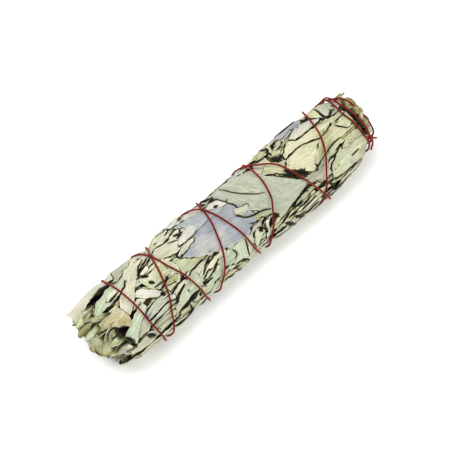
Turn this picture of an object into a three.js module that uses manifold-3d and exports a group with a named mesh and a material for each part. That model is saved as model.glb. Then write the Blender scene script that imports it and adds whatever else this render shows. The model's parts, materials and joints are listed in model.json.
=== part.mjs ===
// A dried yerba santa smudge stick lying on a table.
//
// Six leafy sprigs lie side by side with their cut stems at one end. Loose leaves are wrapped over them
// in overlapping layers. One red cotton string is wound from the stem end to the leaf tips and back, and
// its two ends are knotted together.
//
// Millimetres. +X runs along the bundle to the cut stems, +Z is up, and the origin is on the table under
// the middle. A place on the bundle is (s, turn, r): s along X, turn in degrees round the axis from the
// top towards -Y, and r from the axis. Every piece is laid out on a plain cylinder first, and bundlePoint()
// then gives the cylinder the bundle's own shape: its tapered stem end, its pressed underside and the
// waists that the string pulls in.
import * as THREE from "three";
import { mergeVertices } from "three/addons/utils/BufferGeometryUtils.js";
import Module from "manifold-3d";

// Driving dimensions of the bundle
const BUNDLE_RADIUS = 22;
const AXIS_HEIGHT = 19.6;
const FRONT_BED = 15.8; // the first wrapped leaf lies on this, where the leaves are piled deep
const REAR_BED = 19.3; // and on this, where they lie two deep
const END_BED = 18.6; // and on this at the stem end
const RIM_RADIUS = 22.2; // the outer face of the uppermost leaf that doesn't itself rest on the table
const TIPS_S = -76; // the inner mass ends here, and the leaf tips run on
const STEMS_S = 101.5;
const FRONT_TURN = 15; // the middle of the side where the leaves are piled deep
const BED_RISE_TURNS = [40, 100]; // the bed rises from the front to the rear between these turns from it
const BED_RISE_S = [60, 90]; // and to the stem end between these

// Leaves
const LEAF_THICKNESS = 0.65;
const LEAF_GAP = 0.45;
const LEAF_CELL_ALONG = 7;
const LEAF_CELL_ON_TABLE = 5;
const LEAF_CELL_ACROSS = 4.6;
const LEAF_CROWN = 0.25; // a leaf's middle stands this much higher than its edges
const LANCE = { stalkPower: 0.62, tipPower: 0.72, scale: 2.53 }; // the outline of a lance-shaped leaf
const TOOTH_SHARE = 0.07; // how far the waved edge swings, as a share of the half width
const STALK_HALF_WIDTH = 1.1;
const TIP_HALF_WIDTH = 0.4;
const FELT_REACH = 0.6 * LEAF_CELL_ACROSS; // a leaf lies over whatever is this near
const BRIDGING_PASSES = 3;
const EDGE_SLACK = 0.25; // a leaf also keeps others off just past its edge, as a share of a cell
const SLOPE_EASE = 0.3; // 0 takes a cell's highest corner as its height, and 1 takes its mean

// Sprigs
const SPRIG_COUNT = 6;
const SPRIG_FIRST_TURN = -55;
const SPRIG_CLEARANCE = 0.3;
const STEM_RADIUS = 1.9;
const STEM_AXIS_RADIUS = 9.5;
const STEM_SIDES = 7;
const STEM_BURIED = 8;
const STEM_REACH = { least: 0.8, spread: 2.4 }; // how far a cut stem stands out of the leaves
const CORE_DEPTH = 2.7; // the inner mass lies this far under the first wrapped leaf
const CORE_HOLLOW_RADIUS = 2.2;
const CORE_ROWS = [101.5, 99, 94, 85, 70, 45, 15, -15, -45, TIPS_S];
const CORE_COLUMNS = 3;
const SPRIG_LEAF_CELL = 9;
const SPRIG_LEAF_CROWN = 0.3;
const INNER_LEAF = { length: 34, width: 10, spacing: 26, rise: 3.06, sunk: 1.3, swing: 7 };
const INNER_LEAVES_S = [TIPS_S + 6, STEMS_S - 8];
const TIP_LEAF = { inset: 5, least: 22, spread: 7, swing: 3, rise: 0.8 };
const TIP_RINGS = [
  { share: 0.3, width: 4, lean: 0 },
  { share: 0.54, width: 7, lean: 0 },
  { share: 0.76, width: 5, lean: -13 },
  { share: 0.76, width: 5, lean: 13 },
];

// String
const STRING_RADIUS = 0.58;
const STRING_SIDES = 5;
const STRING_STEP = 4.7;
const STRING_GAP = 0.55;
const STRING_OVER_TABLE = 0.03;
const STRING_SAMPLE_DEG = 3.5;
const STRING_FELT = [-1.2, -0.6, 0, 0.6, 1.2]; // the string lies over whatever is this near on either side
const CROSSING = { halfLength: 1.6, lift: 1.7 }; // a strand over a strand, in string radii
const TAUT_PASSES = 200;
const BITE_DEPTH = 1.1; // how deep the string pulls the leaves in
const BITE_REACH = 5;
const LEAST_PULL = 0.08; // a weaker pull than this doesn't lift a leaf off the table
const STRAND_CLEARANCE = 0.3; // between the table and a strand that runs under the bundle

// The bundle's radius along its length, as a share of BUNDLE_RADIUS
const PROFILE = [
  [-106, 0.95],
  [-98, 1.0],
  [-88, 1.02],
  [-55, 1.01],
  [0, 1.0],
  [50, 0.99],
  [70, 0.97],
  [80, 0.935],
  [90, 0.87],
  [96, 0.8],
  [99, 0.74],
  [101.5, 0.64],
  [106, 0.5],
];

// The underside is pressed flat where it lies on the table. Nothing nearer the axis than pressed[0] is, and
// the string doesn't move anything nearer the axis than pulledFrom.
const FLAT_SHARE = 0.93;
const PRESSED = [9, 14];
const PULLED_FROM = 8;
const MOST_PULLED = 1.1;

// The slow lumps of a hand-tied bundle: how high, over what length, and how often round
const LUMPS = [
  { height: 0.012, length: 17, round: 2, phase: 0 },
  { height: 0.01, length: 29, round: -3, phase: 1 },
];

// The string's course: how far it has turned round the bundle, and where it then is along it. It starts at
// the knot, turns once round the stem end, winds to the leaf tips, winds back on the same hand, crossing
// itself, and turns once more over the end of the bundle to the knot.
const COURSE = [
  [68, 93.6], [120, 94.8], [180, 94.2], [240, 91.8], [300, 89.6], [322, 89.2], [359, 87.4], [385, 89.2],
  [412, 90], [430, 91.6], [465, 91.6], [540, 88], [600, 83], [645, 78], [675, 73.5], [720, 68.5],
  [750, 63], [780, 57.5], [810, 53], [900, 43], [960, 35.5], [1005, 30.5], [1035, 28], [1080, 25.5],
  [1110, 23], [1140, 17.5], [1170, 12], [1215, 11.2], [1260, 10.5], [1300, 5], [1335, -1], [1380, -6],
  [1410, -9], [1440, -12], [1470, -16], [1500, -20], [1530, -25], [1620, -33], [1680, -39], [1740, -44],
  [1770, -48], [1800, -51], [1830, -54.5], [1860, -59.5], [1890, -63], [1980, -67], [2040, -70.5],
  [2085, -73.5], [2115, -75.5], [2160, -74.4], [2205, -73.6], [2250, -70.5], [2340, -61], [2400, -55],
  [2460, -50], [2490, -48], [2520, -45.5], [2550, -42], [2580, -39.6], [2610, -37.5], [2700, -26.5],
  [2760, -20], [2820, -13.5], [2850, -10], [2880, -6.5], [2910, -3.5], [2940, -1], [2970, 1.7],
  [3060, 13.5], [3120, 20.5], [3180, 27], [3210, 31.5], [3240, 38.2], [3270, 42.6], [3300, 48],
  [3330, 53], [3420, 67.5], [3480, 77.5], [3525, 84], [3555, 88.6], [3563, 90], [3574, 94],
  [3586, 96.4], [3608, 97.6], [3640, 98.2], [3680, 98.4], [3730, 98], [3780, 96.4], [3830, 93.4],
  [3870, 90], [3885, 88.8], [3922, 90.3], [3966, 92.2], [4003, 93.8], [4028, 93.4],
];
const TURNAROUND = 2115;
const LAST_ROUND = 3570;
const KNOT = { s: 93.5, turn: 68, radius: 18.6, loop: 1, tilts: [0.5, 2.2] };
const TAILS = [
  [[94.2, 74, 19], [93.6, 84, 19.4], [92.6, 93, 19.6], [92.8, 101, 19.8]],
  [[94.4, 70, 19], [96.2, 76, 19.2], [97.4, 80, 18.8]],
];

// The wrapped leaves, from the innermost out. Each is [s and turn of its stalk, s and turn of its tip,
// width, colour, whether it rests on the table]. The first list is the side with the leaves piled deep, and
// the second covers the rest.
const FRONT_LEAVES = [
  [-12, 20, -54, 13, 15, "pale"],
  [-22, 36, -63, 72, 13, "pale"],
  [-20, -34, -51, -12, 12, "cream"],
  [-46, -66, -86, -60, 15, "grey"],
  [-42, 42, -80, 47, 12, "pale"],
  [-46, 60, -86, 70, 11, "moss"],
  [2, 47, -40, 61, 12, "mint"],
  [-18, 50, 15, 80, 14, "mint"],
  [29, 27, 0, -52, 13, "grey"],
  [16, -56, 47, 22, 14, "cream"],
  [72, 72, 45, 33, 11, "grey"],
  [98, 46, 56, 60, 14, "pale"],
  [98, 70, 57, 82, 12, "moss"],
  [99, 18, 47, 36, 11, "olive"],
  [99, -6, 62, -4, 10, "pale"],
  [78, 2, 41, -13, 9, "moss"],
  [82, -52, 40, -64, 14, "blue"],
  [80, -28, 51, -22, 8, "white"],
  [98, -28, 69, -44, 11, "grey"],
  [53, 66, 12, 73, 7, "moss"],
  [58, 84, 16, 92, 10, "pale"],
  [-16, 86, -60, 94, 14, "pale"],
  [68, 20, 39, 14, 14, "cream"],
  [25, 50, 2, 25, 6.5, "moss"],
  [-6, -46, 49, 37, 19, "grey"],
  [14, 24, -38, 8, 20, "blue"],
  [6, -8, -31, -54, 13, "blue"],
  [-40, -16, -19, -10, 5.5, "white"],
  [15, 9, -1, 13, 6, "tan"],
  [-69, 0, -56, 33, 8, "white"],
  [-43, -40, -82, 28, 10, "cream"],
  [-70, 24, -89, 55, 8, "grey"],
  [-76, 24, -99, 7, 13, "tan"],
  [-74, 94, -95, 56, 9.5, "cream"],
  [-70, 76, -91, 68, 7, "moss"],
  [-66, -72, -104, -52, 13, "cream"],
  [-72, -18, -105, -25, 9, "pale"],
  [-68, -30, -95, -7, 9, "moss"],
];
const REAR_LEAVES = [
  [-40, 118, -95, 106, 17, "pale"],
  [60, 122, 4, 108, 18, "grey"],
  [97, 104, 52, 116, 15, "cream"],
  [-34, 150, -94, 140, 18, "grey"],
  [22, 142, -38, 130, 18, "blue"],
  [97, 146, 36, 150, 18, "pale"],
  [-30, 218, -97, 206, 20, "cream"],
  [97, 212, 24, 212, 20, "grey"],
  [34, 236, -36, 224, 20, "pale"],
  [-28, 256, -99, 246, 18, "mint"],
  [97, 252, 28, 250, 18, "moss"],
  [32, 282, -30, 268, 17, "cream"],
  [-33, 184, -95, 177, 21, "grey", true],
  [97, 178, 38, 182, 20, "pale", true],
  [36, 180, -29, 181, 21, "mint", true],
];

const COLOURS = {
  pale: 0xc3c9ac,
  cream: 0xd0cdb4,
  grey: 0xb3b9a4,
  mint: 0xb8c7b6,
  blue: 0xa9b1b9,
  white: 0xd9dcd9,
  moss: 0xb4bb84,
  olive: 0x9aa163,
  tan: 0xcbbd8b,
  sprig: 0x8f9a72,
  string: 0x8e2a22,
};

const wasm = await Module();
wasm.setup();

const radians = THREE.MathUtils.degToRad;
const MM_PER_DEGREE = radians(BUNDLE_RADIUS); // on the flat pattern of the bundle's outer surface

function seededRandom(seed) {
  let state = seed;
  return () => {
    state = (state * 1664525 + 1013904223) % 4294967296;
    return state / 4294967296;
  };
}

// The value at x of a line through [x, value] points.
function alongPoints(points, x) {
  if (x <= points[0][0]) return points[0][1];
  for (let i = 1; i < points.length; i++) {
    const [x0, y0] = points[i - 1];
    const [x1, y1] = points[i];
    if (x <= x1) return THREE.MathUtils.lerp(y0, y1, (x - x0) / (x1 - x0));
  }
  return points[points.length - 1][1];
}

// How strongly the string pulls in at a place, from 0 to 1.
function stringPull(s, turn) {
  let pull = 0;
  const first = COURSE[0][0];
  const last = COURSE[COURSE.length - 1][0];
  for (let t = turn + 360 * Math.ceil((first - turn) / 360); t <= last; t += 360) {
    const away = (s - alongPoints(COURSE, t)) / BITE_REACH;
    pull = Math.max(pull, Math.exp(-away * away));
  }
  return pull;
}

function turnBetween(a, b) {
  return Math.abs(THREE.MathUtils.euclideanModulo(a - b + 180, 360) - 180);
}

// The height that the first wrapped leaf lies on: it rises towards the rear and towards the stem end.
function bedRadius(s, turn) {
  const rear = THREE.MathUtils.smoothstep(turnBetween(turn, FRONT_TURN), ...BED_RISE_TURNS);
  const end = THREE.MathUtils.smoothstep(s, ...BED_RISE_S);
  return THREE.MathUtils.lerp(THREE.MathUtils.lerp(FRONT_BED, REAR_BED, rear), END_BED, end);
}

// How much the lumps swell the bundle at a place, as a factor.
function swelling(s, turn) {
  let factor = 1;
  for (const { height, length, round, phase } of LUMPS)
    factor += height * Math.sin(s / length + radians(turn) * round + phase);
  return factor;
}

// The flat underside, as a share of the radius.
function roundness(turn) {
  return Math.min(1, FLAT_SHARE / Math.max(0.1, -Math.cos(radians(turn))));
}

// The least height over the table at which a piece's own place can be, unless the string lifts it.
function aboveResting(r) {
  return LEAF_THICKNESS + LEAF_GAP + Math.max(0, RIM_RADIUS - r);
}

// A place on the plain cylinder, moved to where it is on the tied bundle.
function bundlePoint(s, turn, r, least = aboveResting(r)) {
  const pull = stringPull(s, turn);
  const depth = THREE.MathUtils.clamp((r - PULLED_FROM) / (BUNDLE_RADIUS - PULLED_FROM), 0, MOST_PULLED);
  const loose = r * alongPoints(PROFILE, s) * swelling(s, turn) * roundness(turn);
  const shaped = loose - BITE_DEPTH * pull * depth;
  const lifted = THREE.MathUtils.clamp((pull - LEAST_PULL) / (1 - LEAST_PULL), 0, 1);
  const table = lifted * (2 * STRING_RADIUS + STRING_GAP + STRAND_CLEARANCE) + least;
  const free = AXIS_HEIGHT + shaped * Math.cos(radians(turn));
  const pressed = THREE.MathUtils.smoothstep(r, ...PRESSED);
  const z = THREE.MathUtils.lerp(free, Math.max(free, table), pressed);
  return new THREE.Vector3(s, -shaped * Math.sin(radians(turn)), z);
}

// The height of what lies on the bundle so far, on a grid over its flat pattern.
const MAP = { firstS: -112, stepS: 1, countS: 222, stepTurn: 3, countTurn: 120 };
const heights = new Float64Array(MAP.countS * MAP.countTurn);
for (let i = 0; i < MAP.countS; i++)
  for (let j = 0; j < MAP.countTurn; j++)
    heights[i * MAP.countTurn + j] = bedRadius(MAP.firstS + i * MAP.stepS, j * MAP.stepTurn);

function cellOf(s, turn) {
  const i = THREE.MathUtils.clamp(Math.round((s - MAP.firstS) / MAP.stepS), 0, MAP.countS - 1);
  const j = ((Math.round(turn / MAP.stepTurn) % MAP.countTurn) + MAP.countTurn) % MAP.countTurn;
  return i * MAP.countTurn + j;
}

// The greatest height within reach of a place, where reach is in millimetres.
function heightAround(s, turn, reach) {
  let top = 0;
  for (let ds = -reach; ds <= reach; ds += MAP.stepS)
    for (let dt = -reach / MM_PER_DEGREE; dt <= reach / MM_PER_DEGREE; dt += MAP.stepTurn)
      top = Math.max(top, heights[cellOf(s + ds, turn + dt)]);
  return top;
}

// Half the width of a leaf at u along it from stalk to tip: lance-shaped, with a waved edge.
function halfWidth(width, u, row) {
  const lance = LANCE.scale * Math.pow(u, LANCE.stalkPower) * Math.pow(1 - u, LANCE.tipPower);
  const waved = (width / 2) * lance * (1 + TOOTH_SHARE * (row % 2 ? 1 : -1));
  return Math.max(waved, THREE.MathUtils.lerp(STALK_HALF_WIDTH, TIP_HALF_WIDTH, u));
}

// A thin closed blade over a grid of rows and columns. outer and inner give the two faces' points, and both
// faces are split along the same diagonals.
function bladeGeometry(rows, columns, outer, inner) {
  const positions = [];
  const index = [];
  const across = columns + 1;
  const perFace = (rows + 1) * across;
  for (const face of [outer, inner])
    for (let i = 0; i <= rows; i++)
      for (let j = 0; j <= columns; j++) positions.push(...face(i, j).toArray());
  const quad = (a, b, c, d) => index.push(a, b, c, a, c, d);
  for (let i = 0; i < rows; i++)
    for (let j = 0; j < columns; j++) {
      const a = i * across + j;
      const b = a + across;
      quad(a, b, b + 1, a + 1);
      index.push(perFace + a, perFace + b + 1, perFace + b, perFace + a, perFace + a + 1, perFace + b + 1);
    }
  for (let i = 0; i < rows; i++) {
    const left = i * across;
    const right = left + columns;
    quad(left + perFace, left + across + perFace, left + across, left);
    quad(right, right + across, right + across + perFace, right + perFace);
  }
  for (let j = 0; j < columns; j++) {
    const low = j;
    const high = rows * across + j;
    quad(low, low + 1, low + 1 + perFace, low + perFace);
    quad(high + perFace, high + 1 + perFace, high + 1, high);
  }
  const geometry = new THREE.BufferGeometry();
  geometry.setAttribute("position", new THREE.Float32BufferAttribute(positions, 3));
  geometry.setIndex(index);
  return geometry;
}

// Marks what a triangle of the flat pattern covers on the height map. Corners are [s, turn, r].
function raiseMap(a, b, c) {
  const area = (b[0] - a[0]) * (c[1] - a[1]) - (c[0] - a[0]) * (b[1] - a[1]);
  if (Math.abs(area) < 1e-9) return;
  const lowS = Math.floor(Math.min(a[0], b[0], c[0])) - 1;
  const highS = Math.max(a[0], b[0], c[0]) + 1;
  const lowTurn = Math.floor(Math.min(a[1], b[1], c[1]) / MAP.stepTurn - 1) * MAP.stepTurn;
  const highTurn = Math.max(a[1], b[1], c[1]) + MAP.stepTurn;
  const highest = Math.max(a[2], b[2], c[2]);
  const r = THREE.MathUtils.lerp(highest, (a[2] + b[2] + c[2]) / 3, SLOPE_EASE);
  for (let s = lowS; s <= highS; s += MAP.stepS)
    for (let t = lowTurn; t <= highTurn; t += MAP.stepTurn) {
      const wb = ((s - a[0]) * (c[1] - a[1]) - (c[0] - a[0]) * (t - a[1])) / area;
      const wc = ((b[0] - a[0]) * (t - a[1]) - (s - a[0]) * (b[1] - a[1])) / area;
      if (wb < -EDGE_SLACK || wc < -EDGE_SLACK || wb + wc > 1 + EDGE_SLACK) continue;
      const cell = cellOf(s, t);
      heights[cell] = Math.max(heights[cell], r);
    }
}

// A loose leaf laid on what is already on the bundle, bridging its hollows as a dry leaf does.
function wrappedLeaf([stalkS, stalkTurn, tipS, tipTurn, width, , resting]) {
  const runS = tipS - stalkS;
  const runAcross = (tipTurn - stalkTurn) * MM_PER_DEGREE;
  const length = Math.hypot(runS, runAcross);
  const nearTable = turnBetween((stalkTurn + tipTurn) / 2, 180) < 40;
  const rows = Math.max(4, Math.round(length / (nearTable ? LEAF_CELL_ON_TABLE : LEAF_CELL_ALONG)));
  const columns = Math.max(2, Math.round(width / LEAF_CELL_ACROSS));
  const places = [];
  for (let i = 0; i <= rows; i++) {
    places.push([]);
    for (let j = 0; j <= columns; j++) {
      const u = i / rows;
      const side = (j / columns) * 2 - 1;
      const off = side * halfWidth(width, u, i);
      const s = stalkS + runS * u + (runAcross / length) * off;
      const turn = stalkTurn + (runAcross * u - (runS / length) * off) / MM_PER_DEGREE;
      const under = heightAround(s, turn, FELT_REACH);
      places[i].push([s, turn, under + LEAF_GAP + LEAF_CROWN * (1 - side * side)]);
    }
  }
  const bridge = (before, here, after) => {
    here[2] = Math.max(here[2], (before[2] + after[2]) / 2);
  };
  for (let pass = 0; pass < BRIDGING_PASSES; pass++)
    for (let i = 0; i <= rows; i++)
      for (let j = 0; j <= columns; j++) {
        if (i > 0 && i < rows) bridge(places[i - 1][j], places[i][j], places[i + 1][j]);
        if (j > 0 && j < columns) bridge(places[i][j - 1], places[i][j], places[i][j + 1]);
      }
  const outer = places.map((row) => row.map(([s, turn, r]) => [s, turn, r + LEAF_THICKNESS]));
  for (let i = 0; i < rows; i++)
    for (let j = 0; j < columns; j++) {
      raiseMap(outer[i][j], outer[i + 1][j], outer[i + 1][j + 1]);
      raiseMap(outer[i][j], outer[i + 1][j + 1], outer[i][j + 1]);
    }
  return bladeGeometry(
    rows,
    columns,
    (i, j) => bundlePoint(...outer[i][j], resting ? 0 : undefined),
    (i, j) => bundlePoint(...places[i][j], resting ? LEAF_THICKNESS : undefined),
  );
}

function solidOf(geometry) {
  const bare = geometry.index ? geometry.toNonIndexed() : geometry.clone();
  for (const name of Object.keys(bare.attributes)) if (name !== "position") bare.deleteAttribute(name);
  const merged = mergeVertices(bare, 1e-4);
  const solid = new wasm.Manifold(
    new wasm.Mesh({
      numProp: 3,
      vertProperties: merged.attributes.position.array,
      triVerts: new Uint32Array(merged.index.array),
    }),
  );
  if (solid.volume() < 0) throw new Error("a piece is inside out");
  return solid;
}

function geometryOf(solid) {
  const mesh = solid.getMesh();
  const geometry = new THREE.BufferGeometry();
  geometry.setAttribute("position", new THREE.Float32BufferAttribute(mesh.vertProperties, 3));
  geometry.setIndex(new THREE.Uint32BufferAttribute(mesh.triVerts, 1));
  return geometry;
}

// The pressed mass of small leaves round one stem: a wedge of the bundle.
function sprigCore(turn) {
  const place = (i, j, radiusAt) => {
    const s = CORE_ROWS[i];
    const r = radiusAt(s, turn);
    const half = 180 / SPRIG_COUNT - THREE.MathUtils.radToDeg(Math.asin(SPRIG_CLEARANCE / r));
    const t = turn + half * ((j / CORE_COLUMNS) * 2 - 1);
    return bundlePoint(s, t, radiusAt(s, t));
  };
  return bladeGeometry(
    CORE_ROWS.length - 1,
    CORE_COLUMNS,
    (i, j) => place(i, j, (s, t) => bedRadius(s, t) - CORE_DEPTH),
    (i, j) => place(i, j, () => CORE_HOLLOW_RADIUS),
  );
}

// A small leaf of a sprig. radiusAt gives how far its inner face is from the axis at u along it.
function sprigLeaf(stalkS, turn, length, width, swing, radiusAt) {
  const rows = Math.max(3, Math.round(length / SPRIG_LEAF_CELL));
  const columns = 2;
  const face = (lift) => (i, j) => {
    const u = i / rows;
    const s = stalkS - length * u;
    const off = ((j / columns) * 2 - 1) * halfWidth(width, u, i);
    const middle = turn + swing * u;
    const r = radiusAt(u, s, middle) + lift + (j === 1 ? SPRIG_LEAF_CROWN : 0);
    return bundlePoint(s, middle + off / radians(r), r);
  };
  return bladeGeometry(rows, columns, face(LEAF_THICKNESS), face(0));
}

function sprigStem(turn, reach) {
  const stem = new THREE.CylinderGeometry(STEM_RADIUS, STEM_RADIUS * 1.1, reach + STEM_BURIED, STEM_SIDES);
  stem.rotateZ(-Math.PI / 2);
  const middle = bundlePoint(STEMS_S, turn, STEM_AXIS_RADIUS);
  stem.translate(STEMS_S + (reach - STEM_BURIED) / 2, middle.y, middle.z);
  return stem;
}

function sprigGeometry(k) {
  const random = seededRandom(101 + k);
  const turn = SPRIG_FIRST_TURN + (360 / SPRIG_COUNT) * k;
  const stemReach = STEM_REACH.least + STEM_REACH.spread * random();
  let sprig = solidOf(sprigCore(turn)).add(solidOf(sprigStem(turn, stemReach)));
  const { length, width, spacing, rise, sunk, swing } = INNER_LEAF;
  const overCore = (u, s, t) => bedRadius(s, t) - CORE_DEPTH - sunk + rise * u;
  let side = k % 2 ? 1 : -1;
  for (let s = INNER_LEAVES_S[1]; s > INNER_LEAVES_S[0]; s -= spacing) {
    const lean = side * swing;
    const leaf = sprigLeaf(s, turn - lean, length, width, lean * (0.6 + random()), overCore);
    sprig = sprig.add(solidOf(leaf));
    side = -side;
  }
  for (const ring of TIP_RINGS) {
    const reach = TIP_LEAF.least + TIP_LEAF.spread * random();
    const bend = TIP_LEAF.swing * random();
    const inRing = (u, s, t) => ring.share * bedRadius(s, t) + TIP_LEAF.rise * u;
    const leaf = sprigLeaf(TIPS_S + TIP_LEAF.inset, turn + ring.lean, reach, ring.width, bend, inRing);
    sprig = sprig.add(solidOf(leaf));
  }
  return geometryOf(sprig);
}

// The farthest surface of some meshes from the axis, along one ray.
function surfaceRadius(triangles, s, turn) {
  const ray = new THREE.Ray(
    new THREE.Vector3(s, 0, AXIS_HEIGHT),
    new THREE.Vector3(0, -Math.sin(radians(turn)), Math.cos(radians(turn))),
  );
  const hit = new THREE.Vector3();
  let far = 0;
  for (const [low, high, a, b, c] of triangles) {
    if (s < low || s > high) continue;
    if (ray.intersectTriangle(a, b, c, false, hit)) far = Math.max(far, hit.distanceTo(ray.origin));
  }
  return far;
}

function trianglesOf(geometries) {
  const list = [];
  for (const geometry of geometries) {
    const { position } = geometry.attributes;
    const { index } = geometry;
    const corner = (i) => new THREE.Vector3().fromBufferAttribute(position, index.getX(i));
    for (let i = 0; i < index.count; i += 3) {
      const [a, b, c] = [corner(i), corner(i + 1), corner(i + 2)];
      list.push([Math.min(a.x, b.x, c.x), Math.max(a.x, b.x, c.x), a, b, c]);
    }
  }
  return list;
}

// The string's middle line between two turns: over every leaf, over the strands that are already there, and
// taut where it bridges a hollow. Each point is [turn, s, r].
function stringLine(triangles, laid, fromTurn, toTurn) {
  const count = Math.ceil((toTurn - fromTurn) / STRING_SAMPLE_DEG);
  const places = [];
  for (let i = 0; i <= count; i++) {
    const turn = THREE.MathUtils.lerp(fromTurn, toTurn, i / count);
    const s = alongPoints(COURSE, turn);
    const felt = STRING_FELT.map((off) => surfaceRadius(triangles, s + off, turn));
    places.push([turn, s, Math.max(...felt)]);
  }
  const radii = places.map(([turn, s], i) => {
    const near = places.slice(Math.max(0, i - 2), i + 3).map((place) => place[2]);
    const onLeaves = Math.max(...near) + STRING_GAP + STRING_RADIUS;
    const onStrands = laid.map(([otherTurn, otherS, otherR]) => {
      if (turnBetween(turn, otherTurn) > STRING_SAMPLE_DEG) return 0;
      const away = (s - otherS) / (CROSSING.halfLength * STRING_RADIUS);
      const rise = Math.max(0, otherR + CROSSING.lift * STRING_RADIUS - onLeaves);
      return onLeaves + rise * Math.exp(-away * away);
    });
    return Math.max(onLeaves, ...onStrands);
  });
  const chord = Math.cos(radians(STRING_SAMPLE_DEG));
  for (let pass = 0; pass < TAUT_PASSES; pass++)
    for (let i = 1; i < count; i++) {
      const straight = ((radii[i - 1] + radii[i + 1]) / 2) * chord;
      radii[i] = Math.max(radii[i], straight);
    }
  return places.map(([turn, s], i) => [turn, s, radii[i]]);
}

function stringPoint([turn, s, r]) {
  const z = AXIS_HEIGHT + r * Math.cos(radians(turn));
  return new THREE.Vector3(s, -r * Math.sin(radians(turn)), Math.max(z, STRING_RADIUS + STRING_OVER_TABLE));
}

function tube(points, step) {
  const path = new THREE.CatmullRomCurve3(points);
  const section = new THREE.Shape();
  for (let i = 0; i < STRING_SIDES; i++) {
    const a = (2 * Math.PI * i) / STRING_SIDES;
    section[i ? "lineTo" : "moveTo"](STRING_RADIUS * Math.cos(a), STRING_RADIUS * Math.sin(a));
  }
  section.closePath();
  const steps = Math.max(4, Math.round(path.getLength() / step));
  return new THREE.ExtrudeGeometry(section, { steps, extrudePath: path, bevelEnabled: false });
}

// The whole string in one solid: three stretches, each laid over the last, and the knot with its two tails.
function stringGeometry(triangles) {
  const overlap = 2; // turn by which a stretch runs into the next
  const laid = [];
  let whole = null;
  const join = (geometry) => {
    const solid = solidOf(geometry);
    whole = whole ? whole.add(solid) : solid;
  };
  const ends = [COURSE[0][0], TURNAROUND, LAST_ROUND, COURSE[COURSE.length - 1][0]];
  for (let i = 0; i < 3; i++) {
    const from = ends[i] - (i > 0 ? overlap : 0);
    const to = ends[i + 1] + (i < 2 ? overlap : 0);
    const line = stringLine(triangles, laid, from, to);
    laid.push(...line);
    join(tube(line.map(stringPoint), STRING_STEP));
  }
  const knot = stringPoint([KNOT.turn, KNOT.s, KNOT.radius]);
  for (const tilt of KNOT.tilts) {
    const wrap = new THREE.TorusGeometry(KNOT.loop, STRING_RADIUS, STRING_SIDES, 8);
    wrap.rotateY(tilt);
    wrap.rotateX(radians(KNOT.turn));
    wrap.translate(knot.x, knot.y, knot.z);
    join(wrap);
  }
  for (const tail of TAILS) join(tube([knot, ...tail.map(([s, turn, r]) => stringPoint([turn, s, r]))], 2));
  return geometryOf(whole);
}

const group = new THREE.Group();

function addNode(name, geometry, colour, roughness = 0.9) {
  const material = new THREE.MeshStandardMaterial({ color: COLOURS[colour], roughness, metalness: 0 });
  const mesh = new THREE.Mesh(geometry, material);
  mesh.name = name;
  group.add(mesh);
  return geometry;
}

const leafGeometries = [...FRONT_LEAVES, ...REAR_LEAVES].map((leaf, i) =>
  addNode(`leaf_${String(i + 1).padStart(2, "0")}`, wrappedLeaf(leaf), leaf[5]),
);
const sprigGeometries = [];
for (let k = 0; k < SPRIG_COUNT; k++)
  sprigGeometries.push(addNode(`sprig_${k + 1}`, sprigGeometry(k), "sprig"));

const covering = trianglesOf([...leafGeometries, ...sprigGeometries]);
addNode("string", stringGeometry(covering), "string", 0.75);

export default group;
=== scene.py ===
import json
import math

import bmesh
import bpy
import numpy as np
from mathutils import Matrix, Vector
from mathutils.bvhtree import BVHTree

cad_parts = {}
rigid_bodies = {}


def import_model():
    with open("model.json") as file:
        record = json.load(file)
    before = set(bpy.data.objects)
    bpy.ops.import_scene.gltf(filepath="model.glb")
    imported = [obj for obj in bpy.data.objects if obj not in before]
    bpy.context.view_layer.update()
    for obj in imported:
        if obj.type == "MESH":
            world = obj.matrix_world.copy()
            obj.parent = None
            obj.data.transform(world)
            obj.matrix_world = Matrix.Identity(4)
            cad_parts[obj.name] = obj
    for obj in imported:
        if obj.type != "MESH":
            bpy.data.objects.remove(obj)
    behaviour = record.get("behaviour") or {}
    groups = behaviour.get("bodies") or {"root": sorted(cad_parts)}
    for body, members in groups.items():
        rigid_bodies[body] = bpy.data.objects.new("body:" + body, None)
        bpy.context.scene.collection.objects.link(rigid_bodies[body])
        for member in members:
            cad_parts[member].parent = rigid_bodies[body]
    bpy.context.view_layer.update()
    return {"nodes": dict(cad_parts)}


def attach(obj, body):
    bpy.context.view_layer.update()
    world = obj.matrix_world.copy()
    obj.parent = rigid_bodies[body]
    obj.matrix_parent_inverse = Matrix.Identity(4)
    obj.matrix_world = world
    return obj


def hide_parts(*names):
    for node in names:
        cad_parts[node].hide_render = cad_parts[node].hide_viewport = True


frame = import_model()


# The table
# A plain, nearly white table top that the bundle lies on, in the light of one soft window-like panel up
# and to the left of the camera, a weaker panel on the right, and a bright room.
TABLE_SIZE = 6.0
TABLE_LOOKS = {"Base Color": (0.9, 0.9, 0.89, 1.0), "Roughness": 0.9}
ROOM_LIGHT = 0.73
PANELS = [
    {"name": "panel_left", "place": (-0.3, 0.4, 1.4), "size": 0.9, "watts": 15.0},
    {"name": "panel_right", "place": (0.3, -1.2, 1.0), "size": 1.2, "watts": 9.0},
]
LOOK_AT = Vector((0.0, 0.0, 0.0196))
VIEW_AZIMUTH = math.radians(-43.8)
VIEW_ELEVATION = math.radians(64.25)
VIEW_DISTANCE = 1.1
VIEW_OFFSET = (-0.0012, 0.00062)
LENS_MM = 159.3


def add_object(name, data):
    thing = bpy.data.objects.new(name, data)
    bpy.context.scene.collection.objects.link(thing)
    return thing


def new_material(name, looks):
    """A material with the plain settings of its shader, its node tree and the shader."""
    material = bpy.data.materials.new(name)
    material.use_nodes = True
    shader = material.node_tree.nodes["Principled BSDF"]
    for key, value in looks.items():
        shader.inputs[key].default_value = value
    return material, material.node_tree, shader


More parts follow.
